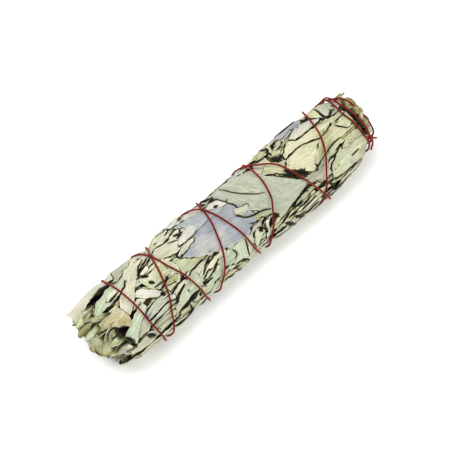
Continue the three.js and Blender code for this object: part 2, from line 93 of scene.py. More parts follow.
bpy.context.scene.view_settings.view_transform = "Standard"
bpy.context.scene.view_settings.look = "Medium High Contrast"

half = TABLE_SIZE / 2
table_corners = [(-half, -half, 0), (half, -half, 0), (half, half, 0), (-half, half, 0)]
table_mesh = bpy.data.meshes.new("table")
table_mesh.from_pydata(table_corners, [], [(0, 1, 2, 3)])
table_mesh.materials.append(new_material("table_paint", TABLE_LOOKS)[0])
table = add_object("table", table_mesh)

room = bpy.data.worlds.new("room")
room.use_nodes = True
room.node_tree.nodes["Background"].inputs["Color"].default_value = (1.0, 1.0, 1.0, 1.0)
room.node_tree.nodes["Background"].inputs["Strength"].default_value = ROOM_LIGHT
bpy.context.scene.world = room

for panel in PANELS:
    light = bpy.data.lights.new(panel["name"], "AREA")
    light.size = panel["size"]
    light.energy = panel["watts"]
    lamp = add_object(panel["name"], light)
    lamp.location = panel["place"]
    lamp.rotation_euler = (LOOK_AT - lamp.location).to_track_quat("-Z", "Y").to_euler()

view_back = Vector((
    math.sin(VIEW_AZIMUTH) * math.cos(VIEW_ELEVATION),
    -math.cos(VIEW_AZIMUTH) * math.cos(VIEW_ELEVATION),
    math.sin(VIEW_ELEVATION),
))
view_right = Vector((math.cos(VIEW_AZIMUTH), math.sin(VIEW_AZIMUTH), 0.0))
view_up = view_back.cross(view_right)
view_target = LOOK_AT + view_right * VIEW_OFFSET[0] + view_up * VIEW_OFFSET[1]
camera_data = bpy.data.cameras.new("camera")
camera_data.lens = LENS_MM
camera = add_object("camera", camera_data)
camera.location = view_target + view_back * VIEW_DISTANCE
camera.rotation_euler = view_back.to_track_quat("Z", "Y").to_euler()
bpy.context.scene.camera = camera


# The wrapped leaves
# Dried, pressed leaves about 0.3 mm thick, felted with fine pale hairs, with a midrib and side veins.
# They were laid round the sprigs one over another and only the string holds them, so the broad leaves and
# the narrow, folded ones tucked between them are laid here in the same order, each on what lies under it.
MM = 0.001
# A place on the bundle is s, in millimetres along it, turn, in degrees round it from the top towards the
# front, and r, in millimetres from its middle.
AXIS_HEIGHT = 19.6
BUNDLE_RADIUS = 22.0
MM_PER_DEGREE = math.radians(BUNDLE_RADIUS)

# Upper colour, the deeper colour that the mottling mixes in, and the colour of the veins
LEAF_COLOURS = {
    "pale": ("b8b896", "8b8d65", "d1d1b1"),
    "cream": ("bfbba5", "989276", "d2cfbe"),
    "grey": ("a6a793", "83856e", "bbbdab"),
    "mint": ("b4bca3", "8a9377", "c9d0b9"),
    "blue": ("94979b", "7c8187", "a8abb2"),
    "white": ("bcbbb1", "99998d", "d0cfc8"),
    "moss": ("abab84", "7c7e50", "c0c19f"),
    "olive": ("94905a", "625e30", "aea974"),
    "tan": ("b1a883", "7f6d45", "c6be96"),
}
WARM_COLOUR = "c6bda6"
COOL_COLOUR = "aeb8aa"
# A leaf's pale rim: partly the felted edge's own paleness, partly a painted highlight where it catches light
PALE_RIM_AND_HIGHLIGHT_COLOUR = "dadcc8"
# Painted shade: an olive shade where a leaf is lightly shaded, and a near-black shade where it lies deep
PAINTED_SHADE_COLOUR = "4e4b1c"
PAINTED_DEEP_SHADE_COLOUR = "171104"
LEAF_LOOKS = {"Roughness": 0.82, "Specular IOR Level": 0.25, "Sheen Weight": 0.12, "Sheen Roughness": 0.6}


def linear(code):
    """A colour that is written as on a screen, as a shader takes it."""
    values = [int(code[i : i + 2], 16) / 255 for i in (0, 2, 4)]
    return tuple(v / 12.92 if v <= 0.04045 else ((v + 0.055) / 1.055) ** 2.4 for v in values) + (1.0,)


def add_node(tree, kind, inputs=None, **settings):
    """A new node with its settings. What goes into each named input is a value, or a socket to link."""
    node = tree.nodes.new(kind)
    for key, value in settings.items():
        setattr(node, key, value)
    for key, value in (inputs or {}).items():
        if isinstance(value, bpy.types.NodeSocket):
            tree.links.new(value, node.inputs[key])
        else:
            node.inputs[key].default_value = value
    return node


def maths(tree, operation, *terms, **settings):
    """What one operation makes of some sockets or numbers."""
    node = add_node(tree, "ShaderNodeMath", dict(enumerate(terms)), operation=operation, **settings)
    return node.outputs["Value"]


def mixed(tree, base, other, share, blend_type="MIX"):
    """One colour with another mixed in. Each is a socket, or a colour as it is written on a screen."""
    base, other = (linear(colour) if isinstance(colour, str) else colour for colour in (base, other))
    inputs = {"Factor": share, "A": base, "B": other}
    return add_node(tree, "ShaderNodeMix", inputs, data_type="RGBA", blend_type=blend_type).outputs["Result"]


def noise(tree, place, scale, detail, roughness=0.5):
    inputs = {"Vector": place, "Scale": scale, "Detail": detail, "Roughness": roughness}
    return add_node(tree, "ShaderNodeTexNoise", inputs).outputs["Fac"]


def stretched(tree, place, scale):
    return add_node(tree, "ShaderNodeMapping", {"Vector": place, "Scale": scale}).outputs["Vector"]


def surface_value(tree, name):
    return add_node(tree, "ShaderNodeAttribute", attribute_name=name).outputs["Fac"]


def object_place(tree):
    return add_node(tree, "ShaderNodeTexCoord").outputs["Object"]


def ranged(tree, value, low, high, to_low, to_high):
    inputs = {"Value": value, "From Min": low, "From Max": high, "To Min": to_low, "To Max": to_high}
    return add_node(tree, "ShaderNodeMapRange", inputs).outputs["Result"]


def finish_surface(tree, shader, colour, height, strength, distance):
    """Gives a shader its colour and its relief."""
    relief = add_node(tree, "ShaderNodeBump", {"Strength": strength, "Distance": distance, "Height": height})
    tree.links.new(colour, shader.inputs["Base Color"])
    tree.links.new(relief.outputs["Normal"], shader.inputs["Normal"])


def felted_leaf(name, upper, lower, vein):
    """Dried leaf: mottled, with paler veins and a fine felt, a pale rim that is partly painted highlight,
    and painted shade where it lies close under an edge or deep between the leaves.
    """
    material, tree, shader = new_material(name, LEAF_LOOKS)
    place = object_place(tree)
    mottle = ranged(tree, noise(tree, place, 130.0, 5.0, 0.62), 0.3, 0.72, -0.2, 0.8)
    patch = maths(tree, "ADD", mottle, surface_value(tree, "tone"), use_clamp=True)
    drift = ranged(tree, noise(tree, place, 75.0, 2.0), 0.3, 0.7, -0.9, 0.9)
    warmth = maths(tree, "ADD", drift, surface_value(tree, "warmth"))
    colour = mixed(tree, upper, lower, patch)
    colour = mixed(tree, colour, WARM_COLOUR, ranged(tree, warmth, 0.0, 1.0, 0.0, 0.5))
    colour = mixed(tree, colour, COOL_COLOUR, ranged(tree, warmth, 0.0, -1.0, 0.0, 0.5))

    along_leaf = add_node(tree, "ShaderNodeUVMap", uv_map="leaf").outputs["UV"]
    streak = noise(tree, stretched(tree, along_leaf, (6.0, 60.0, 1.0)), 1.0, 4.0, 0.65)
    colour = mixed(tree, colour, lower, ranged(tree, streak, 0.46, 0.72, 0.0, 0.6))
    colour = mixed(tree, colour, vein, ranged(tree, streak, 0.52, 0.3, 0.0, 0.6))
    felt = noise(tree, place, 1900.0, 3.0, 0.7)
    colour = mixed(tree, colour, ranged(tree, felt, 0.3, 0.7, 0.86, 1.1), 1.0, "MULTIPLY")
    colour = mixed(tree, colour, vein, ranged(tree, surface_value(tree, "rib"), 0, 1, 0, 0.6))
    # Pale rim: the felt's own paleness with a painted highlight on top
    colour = mixed(tree, colour, PALE_RIM_AND_HIGHLIGHT_COLOUR, surface_value(tree, "margin"))
    # Painted shade: olive and then near black, by how much shade each place is given
    crevice = surface_value(tree, "crevice")
    colour = mixed(tree, colour, PAINTED_SHADE_COLOUR, ranged(tree, crevice, 0.15, 0.42, 0.0, 0.85))
    colour = mixed(tree, colour, PAINTED_DEEP_SHADE_COLOUR, ranged(tree, crevice, 0.4, 0.72, 0.0, 0.97))

    inputs = {"Vector": place, "Scale": 620.0}
    net = add_node(tree, "ShaderNodeTexVoronoi", inputs, feature="DISTANCE_TO_EDGE").outputs["Distance"]
    pebbled = maths(tree, "MULTIPLY_ADD", net, 0.6, felt)
    finish_surface(tree, shader, colour, maths(tree, "MULTIPLY_ADD", streak, -2.2, pebbled), 0.6, 0.0004)
    return material


leaf_materials = {name: felted_leaf("leaf_" + name, *codes) for name, codes in LEAF_COLOURS.items()}


def solid_tree(names):
    """The solids of some nodes as one tree for ray casts, in millimetres."""
    corners = []
    faces = []
    for name in names:
        mesh = frame["nodes"][name].data
        start = len(corners)
        corners += [vertex.co / MM for vertex in mesh.vertices]
        faces += [[start + corner for corner in polygon.vertices] for polygon in mesh.polygons]
    return BVHTree.FromPolygons(corners, faces)


def outward(turn):
    """The direction out from the middle at that turn."""
    return Vector((0.0, -math.sin(math.radians(turn)), math.cos(math.radians(turn))))


def radius_from_outside(tree, s, turn, reach=40.0):
    """How far the outermost surface is from the axis, or nan where there is none."""
    hit = tree.ray_cast(Vector((s, 0.0, AXIS_HEIGHT)) + outward(turn) * reach, -outward(turn), reach)
    return reach - hit[3] if hit[0] else math.nan


def radii_from_outside(tree, s, turn):
    return np.vectorize(lambda at_s, at_turn: radius_from_outside(tree, at_s, at_turn))(s, turn)


def filled(grid):
    """The grid with each missing value taken from its neighbours."""
    grid = grid.copy()
    while np.isnan(grid).any():
        padded = np.pad(grid, 1, constant_values=np.nan)
        around = np.stack([padded[:-2, 1:-1], padded[2:, 1:-1], padded[1:-1, :-2], padded[1:-1, 2:]])
        known = ~np.isnan(around)
        mean = np.where(known, around, 0).sum(0) / np.maximum(known.sum(0), 1)
        gap = np.isnan(grid) & known.any(0)
        if not gap.any():
            raise ValueError("a leaf lies on nothing")
        grid[gap] = mean[gap]
    return grid


def softened(grid, passes):
    """The grid smoothed that many times both ways."""
    for _ in range(2 * passes):
        padded = np.pad(grid, ((1, 1), (0, 0)), mode="edge")
        grid = ((padded[:-2] + 2 * padded[1:-1] + padded[2:]) / 4).T
    return grid


def refined(grid, times):
    """The grid with that many steps in place of each of its own."""
    for _ in range(2):
        rows = np.linspace(0, len(grid) - 1, (len(grid) - 1) * times + 1)
        low = np.minimum(rows.astype(int), len(grid) - 2)
        share = (rows - low)[:, None]
        grid = (grid[low] * (1 - share) + grid[low + 1] * share).T
    return grid


# The height of what lies on the bundle so far, over its flat pattern, which joins up all the way round
MAP_FIRST_S = -114.0
MAP_STEP_S = 0.4
MAP_STEP_TURN = 1.0
MAP_SHAPE = (558, 360)
BASE_STEP = 5
SPRIG_NAMES = [f"sprig_{k}" for k in range(1, 7)]
LEAF_COUNT = 53
DEEPEST_BASE = 1.5
ENVELOPE_REACH = 12
# The turn in the middle of each side, and how far the side spreads from it
UPPER_SIDE = (-72, 24)
LOWER_SIDE = (98, 20)
# Where each part of the bundle begins along it, and the millimetres over which it fades in
RIGHT_PART = (-22, 12)
LEAFY_END = (-86, 8)
UPPER_SWELL = 1.8
LOWER_SWELL = 0.9
LOWER_SHRINK = 0.7
END_SHRINK = 2.0


def cells(s, turn):
    """Where places are in a map, counted in its cells."""
    return (s - MAP_FIRST_S) / MAP_STEP_S, turn / MAP_STEP_TURN


def read_map(grid, s, turn):
    """A map's values at some places, read between its cells."""
    i, j = cells(s, turn)
    i = np.clip(i, 0, MAP_SHAPE[0] - 1.001)
    low_i = np.floor(i).astype(int)
    low_j = np.floor(j).astype(int)
    share_i = i - low_i
    share_j = j - low_j
    near = low_j % MAP_SHAPE[1]
    far = (low_j + 1) % MAP_SHAPE[1]
    low, high = (grid[row, near] * (1 - share_j) + grid[row, far] * share_j for row in (low_i, low_i + 1))
    return low * (1 - share_i) + high * share_i


def raise_map(grid, s, turn, r, times):
    """Raises a map to a leaf's upper face wherever that is higher."""
    i, j = cells(refined(s, times), refined(turn, times))
    i = np.rint(i).astype(int)
    j = np.rint(j).astype(int) % MAP_SHAPE[1]
    inside = (i >= 0) & (i < MAP_SHAPE[0])
    np.maximum.at(grid, (i[inside], j[inside]), refined(r, times)[inside])


def highest_near(grid, reach):
    """Each cell's greatest height within that many cells."""
    for axis in (0, 1):
        grid = np.maximum.reduce([np.roll(grid, step, axis) for step in range(-reach, reach + 1)])
    return grid


def mean_near(grid, reach):
    """Each cell's mean within that many cells both ways."""
    for axis in (0, 1):
        grid = sum(np.roll(grid, step, axis) for step in range(-reach, reach + 1)) / (2 * reach + 1)
    return grid


map_s = MAP_FIRST_S + MAP_STEP_S * np.arange(MAP_SHAPE[0])[:, None]
map_turn = MAP_STEP_TURN * np.arange(MAP_SHAPE[1])[None, :]


def solids_radius(names):
    """The outermost radius of some solids all over the flat pattern, read at every few cells."""
    s, turn = np.broadcast_arrays(map_s[::BASE_STEP], map_turn[:, ::BASE_STEP])
    grid = filled(radii_from_outside(solid_tree(names), s, turn))
    return np.repeat(np.repeat(grid, BASE_STEP, 0), BASE_STEP, 1)[: MAP_SHAPE[0], : MAP_SHAPE[1]]


def near_turn(turn, spread):
    """1 on the line at that turn, falling to 0 on both sides of it."""
    return np.exp(-((((map_turn - turn + 180) % 360 - 180) / spread) ** 2))


base = solids_radius(SPRIG_NAMES)
solids_top = solids_radius([f"leaf_{n:02d}" for n in range(1, LEAF_COUNT + 1)])
solids_envelope = np.maximum(solids_top, mean_near(solids_top, ENVELOPE_REACH))
# The bundle is a little bent, so it stands out more at the top on the left and in front on the right.
lower_side = near_turn(*LOWER_SIDE)
right_part = np.clip((map_s - RIGHT_PART[0]) / RIGHT_PART[1], 0, 1)
end_part = np.clip((LEAFY_END[0] - map_s) / LEAFY_END[1], 0, 1)
swell = UPPER_SWELL * near_turn(*UPPER_SIDE) * (1 - right_part) + LOWER_SWELL * lower_side * right_part
shrink = LOWER_SHRINK * lower_side * (1 - right_part) + END_SHRINK * lower_side * end_part
base = mean_near(np.maximum(base, mean_near(solids_top, 10) - DEEPEST_BASE + swell - shrink), 3)
pile = base.copy()
surface = mean_near(solids_envelope + swell - shrink, 8)


def rolling(rng, x, y, wavelength, count=5):
    """Soft random waves of about that length, in millimetres, from about -1 to 1."""
    total = np.zeros(np.broadcast(x, y).shape)
    for _ in range(count):
        heading = rng.uniform(0, math.tau)
        length = wavelength * rng.uniform(0.7, 1.5)
        phase = rng.uniform(0, math.tau)
        total += np.sin(math.tau * (x * math.cos(heading) + y * math.sin(heading)) / length + phase)
    return total / math.sqrt(count)


def smooth_line(points, count):
    """Evenly spaced points on a smooth line through some places, on the flat pattern in millimetres."""
    points = np.array(points, float) * (1, MM_PER_DEGREE)
    if len(points) > 2:
        ends = np.concatenate([2 * points[:1] - points[1:2], points, 2 * points[-1:] - points[-2:-1]])
        t = np.linspace(0, 1, 12, endpoint=False)[:, None]
        pieces = [
            0.5 * (2 * b + (c - a) * t + (2 * a - 5 * b + 4 * c - d) * t**2 + (3 * b - a - 3 * c + d) * t**3)
            for a, b, c, d in zip(ends, ends[1:], ends[2:], ends[3:])
        ]
        points = np.concatenate(pieces + [points[-1:]])
    run = np.concatenate([[0], np.cumsum(np.hypot(*np.diff(points, axis=0).T))])
    at = np.linspace(0, run[-1], count)
    return np.stack([np.interp(at, run, points[:, 0]), np.interp(at, run, points[:, 1])], -1)


def line_length(points):
    steps = np.diff(np.array(points, float) * (1, MM_PER_DEGREE), axis=0)
    return float(np.hypot(*steps.T).sum())


LEAF_THICKNESS = 0.3
LEAF_SHARP_FROM = 50
LEAF_GAP = 0.07
FEWEST_ROWS = 8
# A lance-shaped leaf: how blunt its stalk end and its tip are, and what brings it to its full width
BROAD_LANCE = (0.62, 0.72, 2.53)
NARROW_LANCE = (0.36, 0.6, 1.87)
NARROW_WIDTH = 7
STALK_HALF_WIDTH = 1.1
TIP_HALF_WIDTH = 0.25


def outline_by_width(middle, width, cell, rng):
    """A leaf's two edges from its middle line and its width, uneven as a dried leaf's are."""
    length = line_length(middle)
    rows = max(FEWEST_ROWS, round(length / cell))
    line = smooth_line(middle, rows + 1)
    heading = np.gradient(line, axis=0)
    heading /= np.hypot(*heading.T)[:, None]
    u = np.linspace(0, 1, rows + 1)
    stalk_power, tip_power, scale = NARROW_LANCE if width < NARROW_WIDTH else BROAD_LANCE
    lance = scale * u**stalk_power * (1 - u) ** tip_power
    edges = []
    for side in (-1, 1):
        uneven = 1 + 0.07 * rolling(rng, u * length, 0, 9) + 0.04 * rolling(rng, u * length, 0, 3.4)
        least = (STALK_HALF_WIDTH + (TIP_HALF_WIDTH - STALK_HALF_WIDTH) * u) * min(1, width / 6)
        half = np.maximum(width / 2 * lance * uneven, least)
        edges.append(line + side * half[:, None] * np.stack([heading[:, 1], -heading[:, 0]], -1))
    return edges, length


def outline_by_edges(first, second, cell, rng):
    length = max(line_length(first), line_length(second))
    rows = max(FEWEST_ROWS, round(length / cell))
    edges = [smooth_line(first, rows + 1), smooth_line(second, rows + 1)]
    u = np.linspace(0, 1, rows + 1)
    for edge in edges:
        edge += 0.22 * np.stack([rolling(rng, u * length, 0, 4), rolling(rng, u * length, 0, 4)], -1)
    run = edges[0][-1] - edges[0][0] + edges[1][-1] - edges[1][0]
    over = (edges[1] - edges[0]).mean(0)
    if run[0] * over[1] - run[1] * over[0] > 0:
        edges.reverse()
    return edges, length


def sheet_grid(rows, columns):
    """The corners of a sheet's cells: u from 0 to 1 along it, and side from -1 to 1 across it."""
    return np.meshgrid(np.linspace(0, 1, rows + 1), np.linspace(-1, 1, columns + 1), indexing="ij")


def flat_leaf(edges, cell):
    """A leaf's cells between its two edges: s, turn, u along it, side across it, and each row's width."""
    first, second = edges
    width = np.hypot(*(second - first).T)
    columns = max(4, round(float(width.max()) / cell))
    u, side = sheet_grid(len(first) - 1, columns)
    share = (side[..., None] + 1) / 2
    flat = first[:, None] * (1 - share) + second[:, None] * share
    return flat[..., 0], flat[..., 1] / MM_PER_DEGREE, u, side, width[:, None]


# How a leaf dried, in millimetres: how far it rolls, how far its rim ruffles and turns up, how deep its
# lengthwise creases are, how far its two halves fold down along the midrib, how far one edge stands up over
# its neighbour, and how high the midrib stands
LEAF_HABITS = {
    "smooth": (0.15, 0.12, 0.12, 0.08, 0.0, 0.0, 0.12),
    "ruffled": (0.25, 0.35, 0.3, 0.25, 0.0, 0.1, 0.14),
    "creased": (0.25, 0.2, 0.2, 0.7, 0.0, 0.2, 0.16),
    "folded": (0.2, 0.15, 0.0, 0.2, 0.9, 0.1, 0.1),
    "cupped": (0.2, 0.15, 0.8, 0.2, 0.0, 0.0, -0.2),
    "tilted": (0.2, 0.15, 0.1, 0.25, 0.0, 0.7, 0.1),
}
BROAD_HABITS = ["ruffled", "creased", "creased", "folded", "cupped", "tilted"]
STRIP_HABITS = ["tilted", "tilted", "folded", "cupped", "creased"]
SHAPE_HABITS = ["smooth", "tilted", "cupped"]
ROLL_WAVE = 15
RUFFLE_WAVE = 7
CREASE_WAVE = 24
CREASE_PITCH = (2.6, 4.4)
RIB_HALF_WIDTH = 0.55
VEIN_SPACING = 3.4
VEIN_HALF_WIDTH = 0.3


def leaf_relief(rng, habit, x, y, u, side):
    """How far the leaf's upper face stands off the smooth surface that it lies on, in millimetres."""
    wave, ruffle, curl, crease, fold, tilt, rib = LEAF_HABITS[habit]
    rise = wave * rolling(rng, x, y, ROLL_WAVE)
    rise += ruffle * side**2 * rolling(rng, x, 2 * np.sign(side), RUFFLE_WAVE)
    left = curl * rng.uniform(0.4, 1.3)
    right = curl * rng.uniform(0.4, 1.3)
    rise += np.where(side < 0, left, right) * np.abs(side) ** 3
    rise -= fold * (np.abs(side) ** 1.4 - 0.5)
    pitch = rng.uniform(*CREASE_PITCH)
    wander = 0.8 * rolling(rng, x, 0 * y, CREASE_WAVE)
    rise += crease * (0.5 - np.abs(np.sin(math.pi * (y / pitch + wander)))) * np.minimum(1, 4 * u)
    rise += tilt * rng.choice([-1, 1]) * side * rng.uniform(0.6, 1.2)
    return rise + rib * np.exp(-((y / RIB_HALF_WIDTH) ** 2))


def side_veins(x, y, u, side):
    """1 on the midrib and the side veins, falling to 0 between them."""
    midrib = np.exp(-((y / (0.5 * (1.15 - u))) ** 2))
    nearness = np.abs(((x - np.abs(y) * 1.1) / VEIN_SPACING) % 1 - 0.5) * 2
    veins = 0.4 * np.exp(-(((1 - nearness) * VEIN_SPACING / 2 / VEIN_HALF_WIDTH) ** 2))
    return np.maximum(midrib, veins * (1 - np.abs(side) ** 4))


UV_SCALE_MM = 50.0
MOST_SINK = 0.6
MOST_DRAPE = 1.5
DRAPE_PASSES = 36
NODE_LIVELINESS = 0.8
TUCKED_LIVELINESS = 0.6
# A place is moved along the view in a few steps, but not where the view only grazes the bundle
VIEW_STEPS = 4
GRAZING = 0.12
laid_leaves = []


def onto_bundle(places, most=180.0):
    """Places on a true round of the greatest radius, moved along the camera's view onto the bundle."""
    moved = []
    for s, turn in places:
        y, z = BUNDLE_RADIUS * outward(turn).yz
        facing = y * view_back.y + z * view_back.z
        sideways = view_back.y**2 + view_back.z**2
        at_s, at_turn = s, turn
        for _ in range(VIEW_STEPS if facing > GRAZING * BUNDLE_RADIUS else 0):
            short = BUNDLE_RADIUS**2 - float(read_map(surface, at_s, at_turn)) ** 2
            step = (math.sqrt(max(0.0, facing**2 - sideways * short)) - facing) / sideways
            at_s = s + step * view_back.x
            at_turn = math.degrees(math.atan2(-y - step * view_back.y, z + step * view_back.z))
        moved.append((at_s, turn + min(most, max(-most, at_turn - turn))))
    return moved


def lay_leaf(colour, habit, outline, cell, rng, node=None, liveliness=TUCKED_LIVELINESS):
    """Lays one leaf on the pile and notes it. A leaf that stands for a node keeps that node's place."""
    edges, length = outline
    s, turn, u, side, width = flat_leaf(edges, cell)
    x = u * length
    y = side * width / 2
    under = read_map(highest_near(pile, 1), s, turn) + LEAF_GAP + LEAF_THICKNESS
    rest = under
    if node:
        rest = np.maximum(under, softened(filled(radii_from_outside(solid_tree([node]), s, turn)), 3))
    taut = rest
    for _ in range(DRAPE_PASSES):
        taut = np.maximum(rest, softened(taut, 1))
    draped = np.maximum(under, rest - MOST_DRAPE)
    loose = np.abs(side) ** 3
    rest = rest * (1 - loose) + softened(draped, 1) * loose
    taut = softened(taut, 2) * (1 - loose) + rest * loose
    relief = liveliness * leaf_relief(rng, habit, x, y, u, side)
    r = np.maximum(under, np.maximum(rest - MOST_SINK, taut + relief))
    raise_map(pile, s, turn, r, math.ceil(cell / (0.6 * MAP_STEP_S)))
    values = {
        "tone": rng.uniform(-0.25, 0.3) + rng.uniform(-0.3, 0.3) * (u - 0.5) + 0 * side,
        "warmth": np.full(u.shape, rng.uniform(-0.8, 0.8)),
        "rib": side_veins(x, y, u, side),
        # A pale rim of random strength, partly its own colour and partly painted highlight
        "margin": (0.2 + rng.uniform(0, 0.5)) * np.clip((np.abs(y) - width / 2 + 0.6) / 0.5, 0, 1),
    }
    uv = np.stack([x, y], -1) / UV_SCALE_MM + rng.uniform(0, 9, 2)
    laid_leaves.append({"colour": colour, "node": node, "s": s, "turn": turn, "r": r, "side": side, "uv": uv,
                        "values": values})


# Small leaves lie under the broad ones everywhere, and over them on the side that the photo doesn't show.
FILLERS = [
    {"before": 1, "seed": 500, "count": 110, "turns": (-180, 180)},
    {"before": 14, "seed": 501, "count": 18, "turns": (-75, 105)},
    {"before": 23, "seed": 502, "count": 8, "turns": (-75, 105)},
    {"before": 46, "seed": 503, "count": 40, "turns": (100, 290)},
    {"before": 54, "seed": 505, "count": 60, "turns": (104, 284)},
]
FILLER_S = (-70, 96)
FILLER_LENGTH = (20, 38)
FILLER_WIDTH = (3, 6.5)
FILLER_SWING = 14
FILLER_SHORT_OF_END = (2, 5)
FRONT_TURNS = (-80, 110)
FILLER_COLOURS = ["pale", "grey", "mint", "moss", "cream", "olive", "pale", "mint"]
FILLER_CELL = 0.8
REAR_CELL = 1.15
TABLE_TURN = 150
# How far the open end reaches: turn and s
OPEN_END = [
    (-180, -96), (-100, -98), (-60, -101), (-35, -103), (-12, -105), (35, -104), (48, -101), (60, -97.5),
    (70, -94), (90, -89), (110, -92), (180, -96),
]


def open_end(turn):
    """How far along the bundle its leafy end reaches at that turn."""
    return float(np.interp((turn + 180) % 360 - 180, [at for at, _ in OPEN_END], [s for _, s in OPEN_END]))


def lay_filler(rng, turns):
    s = rng.uniform(*FILLER_S)
    turn = rng.uniform(*turns)
    if abs(turn) > TABLE_TURN:
        return
    length = rng.uniform(*FILLER_LENGTH)
    swing = rng.normal(0, FILLER_SWING)
    end = max(s - length, open_end(turn) + rng.uniform(*FILLER_SHORT_OF_END))
    middle = [(s, turn), ((s + end) / 2, turn + swing * rng.uniform(0.2, 0.8)), (end, turn + swing)]
    cell = FILLER_CELL if FRONT_TURNS[0] < turn < FRONT_TURNS[1] else REAR_CELL
    outline = outline_by_width(middle, rng.uniform(*FILLER_WIDTH), cell, rng)
    lay_leaf(str(rng.choice(FILLER_COLOURS)), str(rng.choice(STRIP_HABITS)), outline, cell, rng)


def lay_fillers_before(number):
    for filler in FILLERS:
        if filler["before"] == number:
            rng = np.random.default_rng(filler["seed"])
            for _ in range(filler["count"]):
                lay_filler(rng, filler["turns"])


# Each leaf, from the innermost out: s and turn of its stalk, s and turn of its tip, width, colour
FRONT_LEAVES = [
    (-12, 20, -54, 13, 15, "pale"), (-22, 36, -63, 72, 13, "pale"), (-20, -34, -51, -12, 12, "cream"),
    (-46, -66, -86, -60, 15, "grey"), (-42, 42, -80, 47, 12, "pale"), (-46, 60, -86, 70, 11, "moss"),
    (2, 47, -40, 61, 12, "mint"), (-18, 50, 15, 80, 14, "mint"), (29, 27, 0, -52, 13, "grey"),
    (16, -56, 47, 22, 14, "cream"), (72, 72, 45, 33, 11, "grey"), (98, 46, 56, 60, 14, "pale"),
    (98, 70, 57, 82, 12, "moss"), (99, 18, 47, 36, 11, "olive"), (99, -6, 62, -4, 10, "pale"),
    (78, 2, 41, -13, 9, "moss"), (82, -52, 40, -64, 14, "blue"), (80, -28, 51, -22, 8, "white"),
    (98, -28, 69, -44, 11, "grey"), (53, 66, 12, 73, 7, "moss"), (58, 84, 16, 92, 10, "pale"),
    (-16, 86, -60, 94, 14, "pale"), (68, 20, 39, 14, 14, "pale"), (25, 50, 2, 25, 6.5, "moss"),
    (-6, -46, 49, 37, 19, "grey"), (14, 24, -38, 8, 20, "blue"), (6, -8, -31, -54, 13, "blue"),
    (-40, -16, -19, -10, 5.5, "white"), (15, 9, -1, 13, 6, "grey"), (-69, 0, -56, 33, 8, "white"),
    (-43, -40, -82, 28, 10, "cream"), (-70, 24, -89, 55, 8, "mint"), (-76, 24, -99, 7, 13, "tan"),
    (-74, 94, -95, 56, 9.5, "cream"), (-70, 76, -91, 68, 7, "grey"), (-66, -72, -104, -52, 13, "cream"),
    (-72, -18, -105, -25, 9, "mint"), (-68, -30, -95, -7, 9, "mint"),
]
REAR_LEAVES = [
    (-40, 118, -95, 106, 17, "pale"), (60, 122, 4, 108, 18, "grey"), (97, 104, 52, 116, 15, "cream"),
    (-34, 150, -94, 140, 18, "grey"), (22, 142, -38, 130, 18, "blue"), (97, 146, 36, 150, 18, "pale"),
    (-30, 218, -97, 206, 20, "cream"), (97, 212, 24, 212, 20, "grey"), (34, 236, -36, 224, 20, "pale"),
    (-28, 256, -99, 246, 18, "mint"), (97, 252, 28, 250, 18, "moss"), (32, 282, -30, 268, 17, "cream"),
    (-33, 184, -95, 177, 21, "grey"), (97, 178, 38, 182, 20, "pale"), (36, 180, -29, 181, 21, "mint"),
]

# The two edges, from stalk to tip, of the leaves that don't dry to a plain lance shape
LEAF_EDGES = {
    25: ([(-6, -56), (-1, -35), (1, -20), (4, -2), (6, 12), (12, 28), (18, 44), (23, 61), (30, 58),
     (38, 52), (46, 42)], [(14, -58), (20, -45), (24, -25), (28, -4), (33, 8), (38, 21), (43, 33),
     (46, 39)]),
    26: ([(9, 12), (4, -4), (-4, -12), (-14, -12), (-22, -9), (-30, -2), (-35, 3), (-38, 8)], [(9, 28),
     (7, 38), (0, 45), (-8, 44), (-17, 38), (-24, 33), (-30, 24), (-34, 17), (-37.5, 10)]),
    27: ([(-2, -6), (-12, -8), (-21, -11), (-24, -24), (-28, -40), (-30, -50)], [(4, -14), (-4, -24),
     (-10, -29), (-14, -32), (-18, -38), (-24, -52), (-28, -55)]),
    28: ([(-20, -8), (-27, -6), (-34, -6)], [(-21, -20), (-25, -21), (-30, -16), (-34, -8)]),
    29: ([(10, 12), (6, 9), (2.5, 5), (0.5, 11)], [(8.5, 18), (4.5, 21), (2, 18), (0.5, 13)]),
    30: ([(-68, 3), (-66, 5), (-64, 10), (-62, 16), (-59, 22), (-58, 28)], [(-72, 8), (-70, 12), (-68, 17),
     (-65, 24), (-62, 29), (-59, 30)]),
    31: ([(-46, -44), (-54, -42), (-62, -38), (-67, -33), (-72, -22), (-76, -9), (-80, 1), (-82.5, 12)],
     [(-44, -36), (-52, -28), (-58, -21), (-62, -15), (-66, -6), (-70, 4), (-73, 11), (-77, 19),
     (-81, 24)]),
    32: ([(-71, 20), (-76, 24), (-80, 30), (-84, 36), (-88, 40), (-90, 46)], [(-70, 30), (-76, 38),
     (-80, 45), (-83, 53), (-86, 63), (-88.5, 54)]),
    33: ([(-82, 0), (-84, -1), (-88, -2), (-93, -3), (-96, 2), (-98.5, 8)], [(-80, 25), (-82, 33),
     (-84, 33), (-88, 28), (-92, 20), (-96, 16), (-98.5, 13)]),
    34: ([(-74, 86), (-80, 80), (-83, 75), (-86, 70), (-88, 63), (-90, 53), (-93, 50)], [(-76, 98),
     (-84, 89), (-88, 90), (-92, 80), (-95, 66), (-96, 57)]),
    36: ([(-70, -52), (-79, -47), (-84, -46), (-92, -38), (-98, -33), (-102, -37)], [(-66, -82), (-76, -82),
     (-88, -79), (-98, -72), (-102.5, -58)]),
    37: ([(-79, -44), (-84, -32), (-87, -26), (-89, -23), (-94, -27), (-98, -30), (-105, -28)], [(-79, -24),
     (-83, -14), (-88, -6), (-92, -7), (-95, -13), (-101, -20), (-105, -21)]),
    18: ([(79, -24), (71, -29), (62, -29), (55, -23)], [(79, -18), (70, -14), (62, -15), (55, -19)]),
    23: ([(67, 9), (61, 4), (56, 0), (50, -1), (44, 1), (41, 8)], [(63, 20), (57, 29), (53, 39), (48, 31),
     (44, 21), (41, 13)]),
}

